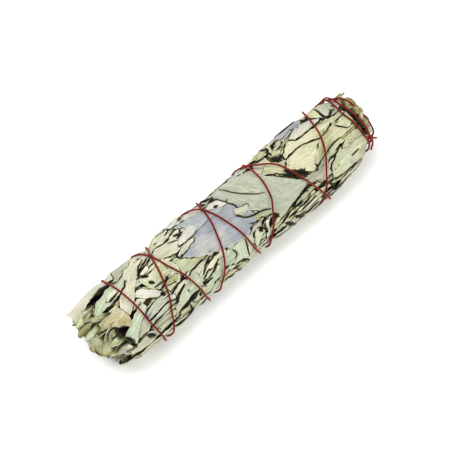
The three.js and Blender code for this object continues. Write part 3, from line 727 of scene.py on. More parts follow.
# Narrow and folded leaves between the broad ones: the broad leaf that each lies on or beside, its colour,
# its width, and its middle line from stalk to tip
TUCKED_STRIPS = [
    (3, "pale", 9, [(-20, -64), (-50, -62)]), (3, "cream", 7, [(-26, -56), (-49, -52)]),
    (4, "cream", 5, [(-48, -50), (-59, -46)]), (24, "cream", 9, [(36, -50), (33, -26), (38, -4)]),
    (24, "pale", 8, [(24, 50), (4, 56)]), (24, "pale", 10, [(47, -60), (28, -64)]),
    (24, "moss", 7, [(47, -46), (33, -38)]), (24, "moss", 3, [(50, -44), (41, -36)]),
    (24, "moss", 3, [(51, -34), (42, -26)]), (24, "pale", 2.6, [(40, -50), (44, -37), (42, -28)]),
    (24, "pale", 6, [(82, -14), (72, -34)]), (24, "olive", 4, [(93, 36), (74, 38)]),
    (24, "moss", 6, [(93, 66), (70, 74)]), (24, "olive", 5, [(93, 82), (60, 85)]),
    (24, "moss", 3.2, [(49, 56), (38, 60), (31, 67)]), (24, "pale", 2.8, [(47, 66), (34, 71)]),
    (24, "olive", 3.6, [(38, 72), (22, 77)]), (24, "pale", 3.6, [(54, 76), (30, 80)]),
    (24, "pale", 3.6, [(54, 84), (28, 88)]), (24, "cream", 3.2, [(50, 94), (22, 96)]),
    (24, "pale", 3, [(12, 84), (-18, 80)]), (24, "cream", 3.4, [(14, 92), (-16, 90)]),
    (24, "mint", 3.4, [(10, 100), (-22, 98)]), (24, "pale", 5, [(-36, 76), (-60, 81)]),
    (24, "moss", 4, [(-34, 86), (-58, 89)]), (24, "tan", 3, [(-16, 72), (-32, 76)]),
    (24, "olive", 3, [(-17, 80), (-33, 84)]), (24, "moss", 5, [(-29, 68), (-41, 75)]),
    (24, "mint", 6, [(6, 50), (3, 84)]), (24, "cream", 3, [(13, 60), (10, 83)]),
    (24, "pale", 4, [(88, 48), (62, 44)]), (24, "cream", 9, [(-27, -30), (-45, -27)]),
    (24, "tan", 4.5, [(88, -20), (96, -17)]), (24, "olive", 6, [(88, -8), (97, -6)]),
    (24, "tan", 5, [(88, 6), (98, 8)]), (24, "olive", 6, [(88, 22), (97.5, 20)]),
    (24, "moss", 5, [(88, 36), (97, 36)]), (25, "moss", 5, [(21, 50), (13, 38), (5, 28)]),
    (25, "cream", 3, [(18, 49), (10, 52)]), (25, "grey", 2.4, [(-24, 52), (-35, 53)]),
    (25, "pale", 3.2, [(-16, 40), (-26, 43), (-34, 48)]), (26, "cream", 3.6, [(12, 42), (1, 47)]),
    (26, "cream", 3, [(14, 48), (10.5, 61)]), (28, "mint", 6, [(-47, 0), (-46, 18), (-48, 32)]),
    (28, "cream", 3.6, [(-44, 36), (-58, 44)]), (29, "mint", 5, [(-55, 35), (-74, 39)]),
    (29, "white", 4.8, [(-54, 42), (-76, 46)]), (29, "mint", 4.8, [(-55, 50), (-75, 53)]),
    (29, "mint", 4.4, [(-54, 58), (-73, 60)]), (29, "pale", 5.4, [(-57, 65), (-77, 67)]),
    (29, "mint", 6, [(-60, 74), (-80, 78)]), (29, "olive", 3.6, [(-46, 24), (-54, 23)]),
    (29, "pale", 3, [(-52, 12), (-60, -5)]), (29, "mint", 3, [(-53, 17), (-62, 0)]),
    (30, "moss", 3, [(-50, -36), (-57, -28), (-63, -18)]), (30, "mint", 2.2, [(-50, -26), (-60, -20)]),
    (30, "mint", 2.2, [(-50, -17), (-58, -12)]), (30, "pale", 2.4, [(-51, -9), (-60, -6)]),
    (30, "white", 3.4, [(-55, -13), (-62, -8)]), (37, "tan", 3, [(-75, -33), (-82, -21)]),
    (37, "pale", 2.8, [(-77, -12), (-87, -4)]), (38, "cream", 2.4, [(-75, -19), (-84, -13)]),
]
# The same for leaves that have their two edges given, in place of a width and a middle line
TUCKED_SHAPES = [
    (36, "tan", [(-76, -33), (-79, -30), (-82, -20)], [(-76, -20), (-79, -17), (-81, -18)]),
    (24, "pale", [(28, -6), (32, 3), (38, 15)], [(35, -16), (39, -2), (40, 10)]),
    (27, "white", [(-26, -52), (-21, -47), (-16, -36), (-10, -33)], [(-30, -66), (-20, -66), (-12, -62),
     (-8, -48)]),
    (24, "cream", [(-30, -14), (-37, -24), (-47, -30)], [(-32, -2), (-40, -3), (-48, -14)]),
    (24, "cream", [(-27, -44), (-36, -50), (-44, -45), (-48, -40)], [(-27, -38), (-38, -37), (-47, -37)]),
    (24, "pale", [(78, -4), (68, -8), (58, -14), (51, -21), (45, -12)], [(77, 3), (68, 7), (61, 1),
     (54, -3), (44, -2)]),
    (24, "grey", [(89, -42), (80, -43), (78, -30)], [(91, -8), (84, -6), (79, -10)]),
    (24, "moss", [(84, 12), (79, 7), (72, 6), (66, 10), (62, 18)], [(87, 26), (78, 27), (72, 27),
     (64, 30)]),
    (24, "pale", [(89, 46), (82, 37), (74, 37), (67, 44), (63, 52), (61, 60)], [(90, 66), (84, 73),
     (75, 75), (66, 74), (61, 70)]),
    (24, "moss", [(89, 33), (82, 31), (75, 33)], [(89, 44), (82, 42), (73, 40)]),
    (24, "pale", [(90, 4), (84, 6), (79, 9)], [(90, 18), (84, 22), (80, 13)]),
    (23, "grey", [(62, 38), (55, 43), (51, 39), (44, 36)], [(62, 50), (56, 63), (52, 67), (48, 60),
     (45, 48)]),
    (23, "moss", [(69, 12), (60, 20), (55, 31)], [(69, 24), (62, 30), (56, 36)]),
    (24, "mint", [(-22, 46), (-21, 58), (-19, 72)], [(2, 42), (1, 60), (-3, 82)]),
    (24, "mint", [(-14, 42), (-20, 44), (-27, 55), (-36, 61)], [(-14, 66), (-20, 67), (-30, 68),
     (-36, 64)]),
    (25, "moss", [(-25, 20), (-34, 13), (-43, 11)], [(-25, 31), (-33, 31), (-44, 28)]),
    (25, "cream", [(-23, 30), (-30, 31), (-40, 34)], [(-25, 36), (-33, 43), (-40, 51)]),
    (26, "grey", [(-25, -4), (-31, -3), (-36, 0), (-39, 5)], [(-26, 2), (-31, 4), (-35, 6), (-38.5, 7)]),
    (27, "white", [(1, -20), (-2, -26), (-5, -26), (-8, -23)], [(2, -9), (-1, -9), (-5, -15), (-8, -21)]),
    (29, "mint", [(-37, 34), (-44, 37), (-50, 47), (-57, 57)], [(-37, 66), (-45, 71), (-52, 73),
     (-58, 68)]),
    (31, "grey", [(-74, 36), (-79, 43), (-82, 50), (-85, 58), (-86, 66)], [(-73, 44), (-75, 55), (-77, 61),
     (-80, 64), (-81, 75)]),
    (24, "pale", [(52, -24), (47, -26), (43, -30), (40, -30)], [(51, -21), (48, -16), (45, -10), (42, -15),
     (40, -22)]),
    (24, "moss", [(76, 28), (69, 28), (62, 32), (53, 39)], [(77, 33), (71, 34), (64, 39), (55, 43)]),
    (29, "pale", [(-48, -28), (-55, -25), (-61, -14), (-64, -2)], [(-48, 14), (-54, 18), (-58, 22),
     (-62, 14)]),
]
TOP_CELL = 0.48
FRONT_CELL = 0.65
NODE_SHIFT = 9.0
KNOWN_HABITS = dict.fromkeys(range(25, 32), "smooth")
KNOWN_HABITS.update({32: "cupped", 33: "folded", 36: "cupped", 37: "creased"})
BROAD_SEED = 1000
STRIP_SEED = 2000
SHAPE_SEED = 3000

for number, leaf in enumerate(FRONT_LEAVES + REAR_LEAVES, 1):
    lay_fillers_before(number)
    rng = np.random.default_rng(BROAD_SEED + number)
    front = number <= len(FRONT_LEAVES)
    cell = FRONT_CELL if front else REAR_CELL
    if number in LEAF_EDGES:
        cell = TOP_CELL
        read_edges = [onto_bundle(edge, NODE_SHIFT) for edge in LEAF_EDGES[number]]
        outline = outline_by_edges(*read_edges, cell, rng)
    else:
        outline = outline_by_width([leaf[:2], leaf[2:4]], leaf[4], cell, rng)
    habit = KNOWN_HABITS.get(number) or (str(rng.choice(BROAD_HABITS)) if front else "ruffled")
    lay_leaf(leaf[5], habit, outline, cell, rng, f"leaf_{number:02d}", NODE_LIVELINESS)
    for k, (over, colour, width, middle) in enumerate(TUCKED_STRIPS):
        if over == number:
            rng = np.random.default_rng(STRIP_SEED + k)
            outline = outline_by_width(onto_bundle(middle), width, TOP_CELL, rng)
            lay_leaf(colour, str(rng.choice(STRIP_HABITS)), outline, TOP_CELL, rng)
    for k, (over, colour, *shape) in enumerate(TUCKED_SHAPES):
        if over == number:
            rng = np.random.default_rng(SHAPE_SEED + k)
            outline = outline_by_edges(*[onto_bundle(edge) for edge in shape], TOP_CELL, rng)
            lay_leaf(colour, str(rng.choice(SHAPE_HABITS)), outline, TOP_CELL, rng)
lay_fillers_before(LEAF_COUNT + 1)

# The string's course: how far it has turned round the bundle, and where it then is along it. It runs from
# the knot to the leaf tips and back, crossing itself, in the three stretches that the ends divide it into.
STRING_COURSE = [
    (68, 93.6), (120, 94.8), (180, 94.2), (240, 91.8), (300, 89.6), (322, 89.2), (359, 87.4), (385, 89.2),
    (412, 90), (430, 91.6), (465, 91.6), (540, 88), (600, 83), (645, 78), (675, 73.5), (720, 68.5),
    (750, 63), (780, 57.5), (810, 53), (900, 43), (960, 35.5), (1005, 30.5), (1035, 28), (1080, 25.5),
    (1110, 23), (1140, 17.5), (1170, 12), (1215, 11.2), (1260, 10.5), (1300, 5), (1335, -1), (1380, -6),
    (1410, -9), (1440, -12), (1470, -16), (1500, -20), (1530, -25), (1620, -33), (1680, -39), (1740, -44),
    (1770, -48), (1800, -51), (1830, -54.5), (1860, -59.5), (1890, -63), (1980, -67), (2040, -70.5),
    (2085, -73.5), (2115, -75.5), (2160, -74.4), (2205, -73.6), (2250, -70.5), (2340, -61), (2400, -55),
    (2460, -50), (2490, -48), (2520, -45.5), (2550, -42), (2580, -39.6), (2610, -37.5), (2700, -26.5),
    (2760, -20), (2820, -13.5), (2850, -10), (2880, -6.5), (2910, -3.5), (2940, -1), (2970, 1.7),
    (3060, 13.5), (3120, 20.5), (3180, 27), (3210, 31.5), (3240, 38.2), (3270, 42.6), (3300, 48),
    (3330, 53), (3420, 67.5), (3480, 77.5), (3525, 84), (3555, 88.6), (3563, 90), (3574, 94), (3586, 96.4),
    (3608, 97.6), (3640, 98.2), (3680, 98.4), (3730, 98), (3780, 96.4), (3830, 93.4), (3870, 90),
    (3885, 88.8), (3922, 90.3), (3966, 92.2), (4003, 93.8), (4028, 93.4),
]
STRETCH_ENDS = (68, 2115, 3570, 4028)
STRING_RADIUS = 0.6
STRING_STEP_TURN = 2.0
CAD_STRING_RADIUS = 0.53
STRING_FELT = (-0.25, 0.0, 0.25)
LEAST_STRING_R = 5
CROSSING_WIDTH = 1.7
CROSSING_LIFT = 1.02
MOST_LAPS = 12
# A radius that is as good as no limit
FREE = 99.0


def laps_over(turn, stretches):
    """Where each later stretch runs, lap by lap, as it passes these turns: s and r, or nan."""
    for over_turn, *course in stretches:
        for lap in range(-MOST_LAPS, MOST_LAPS + 1):
            at = turn + 360 * lap
            yield [np.interp(at, over_turn, values, left=np.nan, right=np.nan) for values in course]


def string_stretches():
    """The string's three stretches as turn, s and r, with its radius read off the string's own solid."""
    solid = solid_tree(["string"])
    lines = []
    for start, end in zip(STRETCH_ENDS, STRETCH_ENDS[1:]):
        turn = np.linspace(start, end, round((end - start) / STRING_STEP_TURN) + 1)
        s = np.interp(turn, [t for t, _ in STRING_COURSE], [s for _, s in STRING_COURSE])
        tops = np.stack([radii_from_outside(solid, s + off, turn) for off in STRING_FELT])
        r = np.where(np.isnan(tops), -1, tops).max(0) - CAD_STRING_RADIUS
        lines.append((turn, s, np.where(r < LEAST_STRING_R, np.nan, r)))
    for k, (turn, s, r) in enumerate(lines):
        for above, _ in laps_over(turn, lines[k + 1 :]):
            r[np.abs(above - s) < CROSSING_WIDTH] = np.nan
        known = ~np.isnan(r)
        r[:] = np.interp(turn, turn[known], r[known])
        for _ in range(2):
            r[1:-1] = (r[:-2] + 2 * r[1:-1] + r[2:]) / 4
    for k, (turn, s, r) in enumerate(lines):
        for above, high in laps_over(turn, lines[k + 1 :]):
            away = np.nan_to_num(np.abs(above - s) / CROSSING_WIDTH, nan=9.0)
            room = np.nan_to_num(high - CROSSING_LIFT, nan=FREE)
            r[:] = np.where(away < 3, np.minimum(r, room + 0.5 * away**2), r)
    return lines


# The string presses the leaves down, and so does the table: both are ceilings over the pile. How far each
# place of the pile is pressed fades out a little way below its top, so no leaf comes through another. Nor
# may the pile stand further out, on the whole, than the solids do.
BITE_REACH = 6.0
BITE_RISE = 0.09
PRESS_DEPTH = 9.0
TABLE_CLEARANCE = 0.03
SWELL_ALLOWED = 0.35
LEAST_FACING = 0.3


def near_window(s, turn, reach):
    """The cells within reach of a place, and how far each is from it."""
    i, j = cells(s, turn)
    span_i = int(reach / MAP_STEP_S) + 1
    span_j = int(reach / (MAP_STEP_TURN * MM_PER_DEGREE)) + 1
    rows = np.clip(np.arange(int(i) - span_i, int(i) + span_i + 1), 0, MAP_SHAPE[0] - 1)[:, None]
    columns = np.arange(int(j) - span_j, int(j) + span_j + 1)[None, :]
    along = MAP_FIRST_S + rows * MAP_STEP_S - s
    across = (columns * MAP_STEP_TURN - turn) * MM_PER_DEGREE
    return rows, columns % MAP_SHAPE[1], np.hypot(along, across)


allowed = SWELL_ALLOWED + swell - shrink
swollen = mean_near(np.maximum(0, mean_near(pile - solids_envelope, 5) - allowed), 4)
ceiling = np.full(MAP_SHAPE, FREE)
string_lines = string_stretches()
for turns, places, radii in string_lines:
    for turn, s, r in zip(turns, places, radii):
        rows, columns, away = near_window(s, turn, BITE_REACH)
        ceiling[rows, columns] = np.minimum(ceiling[rows, columns], r - STRING_RADIUS + BITE_RISE * away**2)
facing_down = -np.cos(np.radians(map_turn))
to_table = (AXIS_HEIGHT - TABLE_CLEARANCE) / np.maximum(facing_down, LEAST_FACING)
table_radius = np.where(facing_down > LEAST_FACING, to_table, FREE)
press = np.maximum(swollen, pile - np.minimum(ceiling, table_radius))
press = np.maximum(press, mean_near(press, 2))

# Where the leaves gape and one looks down between them: width, depth, and the line of the gap. Each gap is
# pushed in by its depth and painted with dark shade along its line.
GAPS = [
    (5.0, 3.0, [(-77, -45), (-81, -42), (-85, -38), (-89, -30)]),
    (5.0, 3.0, [(-77, -38), (-82, -35), (-87, -27)]), (3.0, 2.0, [(-98, -31), (-91, -34)]),
    (2.6, 2.0, [(-104, -6), (-95, -8)]), (1.1, 0.8, [(-83, -10), (-76, -14)]),
    (2.4, 2.2, [(-78, 65), (-74, 76)]), (1.8, 1.6, [(-89.5, 44), (-87.5, 52), (-87, 64)]),
    (2.6, 1.8, [(-59, 28), (-58, 33)]), (1.2, 0.8, [(-58, -42), (-51, -41)]),
    (1.2, 0.8, [(-53, -31), (-58, -24), (-62, -13)]), (1.2, 1.0, [(-57, -22), (-52, -24)]),
    (1.2, 1.0, [(-58, -15), (-53, -19)]), (1.8, 1.6, [(-61.5, -10), (-58.5, -2)]),
    (2.2, 1.6, [(-60, 5), (-58.5, 10)]), (1.2, 0.8, [(-60, 16), (-53, 17)]),
    (1.8, 1.2, [(-52.5, 18), (-50.5, 16)]), (1.1, 0.8, [(-55, 35), (-44, 32)]),
    (1.7, 1.6, [(-55, 50), (-50, 45), (-46, 40)]), (2.0, 1.8, [(-57, 72), (-48, 68), (-40, 65)]),
    (1.2, 0.8, [(-37, -22), (-31, -14)]), (1.4, 1.4, [(-43, -37), (-39, -37)]),
    (1.4, 1.4, [(-37, -34), (-34, -34)]), (1.7, 1.6, [(-31.5, -28), (-28, -20)]),
    (2.0, 1.6, [(-41, -55), (-39, -53)]), (1.4, 1.0, [(-37.5, 7), (-36.5, 7)]),
    (1.2, 1.0, [(-40, 3), (-37, -1)]), (1.0, 0.6, [(-40, 32), (-28, 30)]),
    (1.4, 1.4, [(-32, 43), (-28, 37), (-25, 33)]), (1.6, 1.4, [(-24, 35), (-20, 38)]),
    (1.2, 1.0, [(-34.5, 53), (-31, 48), (-28, 50)]), (1.4, 1.2, [(-35, 58), (-28, 54), (-22, 45)]),
    (1.5, 1.0, [(-5, -52), (-1, -35), (1, -20), (4, -2), (5, 8)]),
    (2.0, 1.4, [(-3, -48), (-1, -36), (0, -26)]),
    (1.5, 1.2, [(-24, -52), (-18, -40), (-14, -33), (-9, -31), (-1, -28)]),
    (2.2, 1.8, [(-3.8, -18), (-2.8, -16)]), (1.0, 0.5, [(4, -48), (8, -25), (10, -12), (16, 6), (22, 16)]),
    (1.6, 1.4, [(12, -42), (13, -41)]), (1.6, 1.4, [(19, -36), (21, -34)]),
    (1.3, 1.2, [(20, -49), (25, -54)]), (1.2, 0.8, [(1, 14), (5, 26), (14, 33), (19, 40)]),
    (1.2, 0.8, [(-12.5, 48), (-11.5, 58), (-14, 65)]), (1.2, 1.0, [(-3, 48), (-5, 80)]),
    (2.8, 2.4, [(7, 53), (9, 57)]), (1.4, 1.0, [(10, 47), (12, 44), (14, 47)]),
    (2.2, 2.2, [(12, 62), (16, 56), (20, 50)]), (1.3, 1.0, [(8, 64), (3, 82)]),
    (2.4, 2.2, [(-21, 75), (-11, 78), (-7, 92), (-4, 102)]),
    (1.0, 0.8, [(28, -4), (33, 9), (38, 22), (43, 34), (46, 45), (48, 60)]),
    (2.4, 2.0, [(38.5, 17), (42.5, 33)]), (1.2, 1.0, [(30, 60), (34, 66), (38, 62)]),
    (1.2, 1.0, [(34, 70), (40, 72), (44, 66)]), (1.6, 1.4, [(26, 74), (33, 78)]),
    (1.4, 1.2, [(35, 84), (40, 80), (47, 76)]), (2.0, 1.8, [(24, 86), (30, 104)]),
    (2.0, 1.8, [(31, 86), (37, 104)]), (2.2, 1.8, [(62, 80), (76, 84), (90, 81)]),
    (1.4, 1.2, [(-56, 75), (-57, 90)]), (1.4, 1.2, [(-49, 73), (-48, 88)]),
    (1.2, 1.0, [(-47, 72), (-44, 80), (-40, 82)]), (2.4, 2.0, [(-33, 81), (-29, 70)]),
    (1.6, 1.4, [(-29, 72), (-22, 86)]), (2.0, 1.6, [(-16, 82), (-12, 100)]),
    (5.2, 2.8, [(39.5, -20), (42, -7)]), (1.2, 1.0, [(41, -50), (43, -42), (41, -33)]),
    (1.3, 1.0, [(44, -30), (48, -25), (52, -23)]), (1.8, 1.6, [(46, -55), (49, -45), (53, -38), (59, -37)]),
    (0.9, 0.7, [(46, -1), (55, -2), (61, 4), (66, 8)]), (3.6, 2.4, [(39, 11), (42, 22), (48.5, 36)]),
    (0.7, 0.5, [(50, 50), (53, 66)]), (1.6, 1.6, [(18, 66), (28, 62), (37, 55), (39, 51), (43, 56)]),
    (1.4, 1.2, [(60, -38), (64, -28)]), (1.2, 0.9, [(55, -20), (58, -14), (66, -13)]),
    (0.9, 0.9, [(77, -55), (78.5, -25), (78, -12), (83, -4)]), (1.4, 1.2, [(86.5, -20), (87.5, -15)]),
    (0.7, 0.6, [(67, 8), (73, 7), (78, 2)]), (1.4, 0.8, [(75.5, 5), (78, 3)]),
    (1.2, 1.0, [(80, 4), (88, 4)]), (0.9, 0.7, [(65, 30), (71, 27), (77, 27)]),
    (1.2, 0.8, [(70, 37), (74, 36), (77, 34)]), (0.9, 0.7, [(61, 60), (63, 51), (67, 44), (71, 38)]),
    (1.5, 0.8, [(76.5, 62), (79, 61), (82, 60)]), (4.2, 2.4, [(90, -6), (91, 10), (91.5, 28), (91.5, 50)]),
    (2.2, 1.8, [(95, -3), (97, -3)]), (2.2, 1.8, [(95, 13), (98, 13)]), (2.2, 1.8, [(95, 30), (98, 31)]),
]
# Where one leaf lies so flat on another that their seam hardly shows, so the painted shade under its edge
# is taken away there: width, and the line of the seam
CLOSED_SEAMS = [
    (4.4, [(-24, -11), (-12, -8), (0, -6)]), (3.0, [(2, 6), (1, 10), (2, 16), (5, 21), (9, 19)]),
]
ROUTE_STEP = 0.4
SEAM_SEED = 77
SEAM_WAVE = 7
SEAM_SHADE = 0.76
SEAM_UNEVEN = 0.32
# How far below an edge, or below what lies around, a place begins to be in shadow and is fully so
EDGE_DROP = (0.38, 0.9)
HOLLOW_DROP = (2.0, 4.0)
SHALLOW_DROP = (0.3, 1.9)
SHALLOW_SHADE = 0.31
GAP_SHADE = 0.92


def along_route(route, width):
    """Each step of a route on the bundle: the share of the way, the cells near it, and their distances."""
    route = onto_bundle(route)
    line = smooth_line(route, max(2, round(line_length(route) / ROUTE_STEP) + 1))
    for n, (s, over) in enumerate(line):
        yield (n + 0.5) / len(line), *near_window(s, over / MM_PER_DEGREE, width)


gap_depth = np.zeros(MAP_SHAPE)
gap_shade = np.zeros(MAP_SHAPE)
# Each gap's dent, and the dark shade painted along it
for width, depth, route in GAPS:
    for share, rows, columns, away in along_route(route, width):
        taper = 0.3 + 0.7 * math.sqrt(math.sin(math.pi * share))
        away = away / (taper * width / 2)
        gap_depth[rows, columns] = np.maximum(gap_depth[rows, columns], taper * depth * np.exp(-(away**2)))
        gap_shade[rows, columns] = np.maximum(gap_shade[rows, columns], np.exp(-(away**4)))

# Painted shade along the seams: how dark close under an edge is painted, varying softly over the bundle
seam_rng = np.random.default_rng(SEAM_SEED)
seam_shade_strength = SEAM_SHADE + SEAM_UNEVEN * rolling(seam_rng, map_s, map_turn * MM_PER_DEGREE, SEAM_WAVE, 9)
for width, route in CLOSED_SEAMS:
    for _, rows, columns, away in along_route(route, width):
        seam_shade_strength[rows, columns] *= 1 - np.exp(-((away / (width / 2)) ** 4))
edge_above = highest_near(pile - press - gap_depth, 1)
around_above = mean_near(pile - press, 6)


def pressed(s, turn, r):
    """Where a place of the pile ends up once the string is tied."""
    buried = np.maximum(0, read_map(pile, s, turn) - r) / PRESS_DEPTH
    return r - (read_map(press, s, turn) + read_map(gap_depth, s, turn)) * np.clip(1 - buried, 0, 1)


def stepped(value, low, high):
    """A smooth step from 0 at the low value to 1 at the high one."""
    share = np.clip((value - low) / (high - low), 0, 1)
    return share * share * (3 - 2 * share)


def crevice_at(s, turn, r):
    """How much painted shade a place gets, from 0 to 1: close under an edge, far down in a hollow,
    and along a gap.
    """
    crack = read_map(seam_shade_strength, s, turn) * stepped(read_map(edge_above, s, turn) - r, *EDGE_DROP)
    low = read_map(around_above, s, turn) - r
    hollow = np.maximum(stepped(low, *HOLLOW_DROP), SHALLOW_SHADE * stepped(low, *SHALLOW_DROP))
    return np.maximum.reduce([crack, hollow, GAP_SHADE * read_map(gap_shade, s, turn)])


def points_at(s, turn, r):
    """Places on the bundle as points, in millimetres."""
    angle = np.radians(turn)
    return np.stack([s, -r * np.sin(angle), AXIS_HEIGHT + r * np.cos(angle)], -1)


def give_values(mesh, name, values, kind="FLOAT", field="value"):
    values = np.asarray(values, np.int32 if kind == "INT" else np.float32)
    mesh.attributes.new(name, kind, "POINT").data.foreach_set(field, values.ravel())


def shade_smooth(mesh, sharp_from):
    mesh.polygons.foreach_set("use_smooth", np.ones(len(mesh.polygons), dtype=bool))
    mesh.set_sharp_from_angle(angle=math.radians(sharp_from))


def sheets_mesh(name, sheets):
    """One mesh of closed thin sheets: each two grids of points in millimetres, a UV grid and its values."""
    points = []
    faces = []
    uvs = []
    values = {key: [] for key in sheets[0][3]}
    start = 0
    for upper, lower, uv, grids in sheets:
        rows, columns = upper.shape[:2]
        count = rows * columns
        index = np.arange(count).reshape(rows, columns)
        quad = np.stack([index[:-1, :-1], index[1:, :-1], index[1:, 1:], index[:-1, 1:]], -1).reshape(-1, 4)
        rim = np.concatenate([index[:-1, 0], index[-1, :-1], index[:0:-1, -1], index[0, :0:-1]])
        after = np.roll(rim, -1)
        faces.append(start + quad)
        faces.append(start + count + quad[:, ::-1])
        faces.append(start + np.stack([after, rim, rim + count, after + count], -1))
        points += [upper.reshape(-1, 3), lower.reshape(-1, 3)]
        uvs += [uv.reshape(-1, 2)] * 2
        for key, grid in grids.items():
            values[key] += [grid.ravel()] * 2
        start += 2 * count
    mesh = bpy.data.meshes.new(name)
    mesh.from_pydata(np.concatenate(points) * MM, [], np.concatenate(faces))
    corners = np.empty(len(mesh.loops), dtype=np.int32)
    mesh.loops.foreach_get("vertex_index", corners)
    mesh.uv_layers.new(name="leaf").data.foreach_set("uv", np.concatenate(uvs)[corners].ravel())
    for key, grids in values.items():
        give_values(mesh, key, np.concatenate(grids))
    shade_smooth(mesh, LEAF_SHARP_FROM)
    return mesh


def leaf_sheet(leaf):
    s, turn = leaf["s"], leaf["turn"]
    r = pressed(s, turn, leaf["r"])
    inner = r - LEAF_THICKNESS * (1 - 0.5 * leaf["side"] ** 6)
    # The painted shade of each place of the leaf
    values = dict(leaf["values"], crevice=crevice_at(s, turn, r))
    return points_at(s, turn, r), points_at(s, turn, inner), leaf["uv"], values


def show_piece(name, mesh, material, node=None):
    """A finished piece of the bundle, in place of a solid where it stands for one."""
    mesh.materials.clear()
    mesh.materials.append(material)
    corners = np.empty(3 * len(mesh.vertices), np.float32)
    mesh.vertices.foreach_get("co", corners)
    corners[2::3] = np.maximum(corners[2::3], TABLE_CLEARANCE * MM)
    mesh.vertices.foreach_set("co", corners)
    piece = add_object(name, mesh)
    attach(piece, "root")
    if node:
        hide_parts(node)


def show_leaves(name, sheets, colour, node=None):
    if sheets:
        show_piece(name, sheets_mesh(name, sheets), leaf_materials[colour], node)


for leaf in laid_leaves:
    if leaf["node"]:
        show_leaves("wrapped_" + leaf["node"], [leaf_sheet(leaf)], leaf["colour"], leaf["node"])
for colour in LEAF_COLOURS:
    tucked = [leaf_sheet(leaf) for leaf in laid_leaves if not leaf["node"] and leaf["colour"] == colour]
    show_leaves("tucked_leaves_" + colour, tucked, colour)


# The sprigs
# Six cut stems lie side by side down the middle, each with its small leaves pressed round it in a
# crumpled mass that is painted dark with shade, as it lies deep under the wrapped leaves. Their curled
# leaf ends fill the open end of the bundle, and the cut stems show at the other.
MASS_S = (-82.0, 99.0)
MASS_CELL_S = 1.6
MASS_CELL_TURN = 3.0
MASS_INNER_RADIUS = 2.5
MASS_HALF_TURN = 29.5
MASS_ROUNDED = 8.0
MASS_SINK = 0.7
MASS_SEED = 4000
SEAT_SEED = 4100
STEM_SEED = 4200
CURLED_SEED = 40
SPRIG_FIRST_TURN = -55
SPRIG_STEP_TURN = 60
SEAT_HALF_TURN = 30
CURLED_LEAF = {"length": 24.0, "rows": 14, "columns": 10, "thickness": 0.3}
CURLED_FORMS = [
    {"width": 9.0, "fold": (25, 45), "twist": 40, "hook": 3.0, "blunt": 0.5},
    {"width": 8.0, "fold": (50, 65), "twist": -60, "hook": -2.0, "blunt": 0.7},
    {"width": 12.0, "fold": (12, 40), "twist": 25, "hook": 4.0, "blunt": 0.35},
    {"width": 8.5, "fold": (35, 20), "twist": 80, "hook": 2.0, "blunt": 0.6},
]
# Where each sprig's small leaves sit at the open end, and at the tied end
SEAT_GROUPS = [
    {"count": 20, "s": -78.0, "reach": (17.0, 26.0), "radii": (2.5, 16.2), "heading": -1, "splay": 0.1},
    {"count": 14, "s": 87.0, "reach": (9.0, 14.0), "radii": (3.0, 13.0), "heading": 1, "splay": -0.12},
]
STEM_RADIUS = 1.9
STEM_LENGTH = 12.0
STEM_SIDES = 14
STEM_POINTS = 10
STEM_SHARP_FROM = 40
# The cut face, from its rim in: how far out each ring is, and whether it is pith
CUT_RINGS = ((0.86, 0), (0.3, 0), (0.22, 1))
CUT_BULGE = 0.12
CUT_FACE_DEPTH = 0.05
BARK_COLOURS = ("6b6038", "a79c6a")
WOOD_COLOUR = "d3c79a"
PITH_COLOUR = "7d6a45"

sprig_leaf = felted_leaf("sprig_leaf", "8b9466", "4d582c", "b4bb90")
# The mass is a deeper olive than the small leaves: partly its own colour, partly painted shade
sprig_mass = felted_leaf("sprig_mass", "5c6238", "34381d", "6c7346")


def stem_bark():
    """Olive-brown bark with fine lengthwise cracks, and pale wood with a darker pith where it is cut."""
    material, tree, shader = new_material("stem_bark", {"Roughness": 0.8})
    grain = noise(tree, stretched(tree, object_place(tree), (0.12, 1.0, 1.0)), 2200.0, 4.0, 0.65)
    colour = mixed(tree, *BARK_COLOURS, ranged(tree, grain, 0.35, 0.65, 0.0, 1.0))
    colour = mixed(tree, colour, WOOD_COLOUR, surface_value(tree, "wood"))
    colour = mixed(tree, colour, PITH_COLOUR, surface_value(tree, "pith"))
    finish_surface(tree, shader, colour, grain, 0.6, 0.0002)
    return material


bark = stem_bark()


def plain_values(grid, crevice, tone=0.0, warmth=0.0):
    """The values that the leaf material reads, for a sheet with no veins."""
    nothing = np.zeros(grid.shape)
    return {"tone": nothing + tone, "warmth": nothing + warmth, "rib": nothing, "margin": nothing,
            "crevice": nothing + crevice}


def mass_sheet(k):
    """The crumpled leafy mass of one sprig: a wedge of the bundle under the wrapped leaves."""
    rng = np.random.default_rng(MASS_SEED + k)
    middle = SPRIG_FIRST_TURN + SPRIG_STEP_TURN * k
    s, turn = np.meshgrid(
        np.linspace(*MASS_S, round((MASS_S[1] - MASS_S[0]) / MASS_CELL_S)),
        middle + np.linspace(-MASS_HALF_TURN, MASS_HALF_TURN, round(2 * MASS_HALF_TURN / MASS_CELL_TURN)),
        indexing="ij",
    )
    across = turn * MM_PER_DEGREE
    crumpled = 0.5 * rolling(rng, s, across, 6) + 0.35 * rolling(rng, s, across, 3)
    ends = np.minimum(s - MASS_S[0], MASS_S[1] - s) / MASS_ROUNDED
    rounded = np.sqrt(np.clip(1 - (1 - np.clip(ends, 0, 1)) ** 2, 0.02, 1))
    r = pressed(s, turn, (read_map(base, s, turn) - MASS_SINK + crumpled)) * rounded
    r = np.maximum(r, MASS_INNER_RADIUS + 0.5)
    inner = np.full(r.shape, MASS_INNER_RADIUS)
    uv = np.stack([s / 100, turn / 100], -1)
    # Painted shade: the whole mass is shaded dark, darker still in the low folds of its crumpling
    return points_at(s, turn, r), points_at(s, turn, inner), uv, plain_values(r, 0.55 - 0.2 * crumpled)


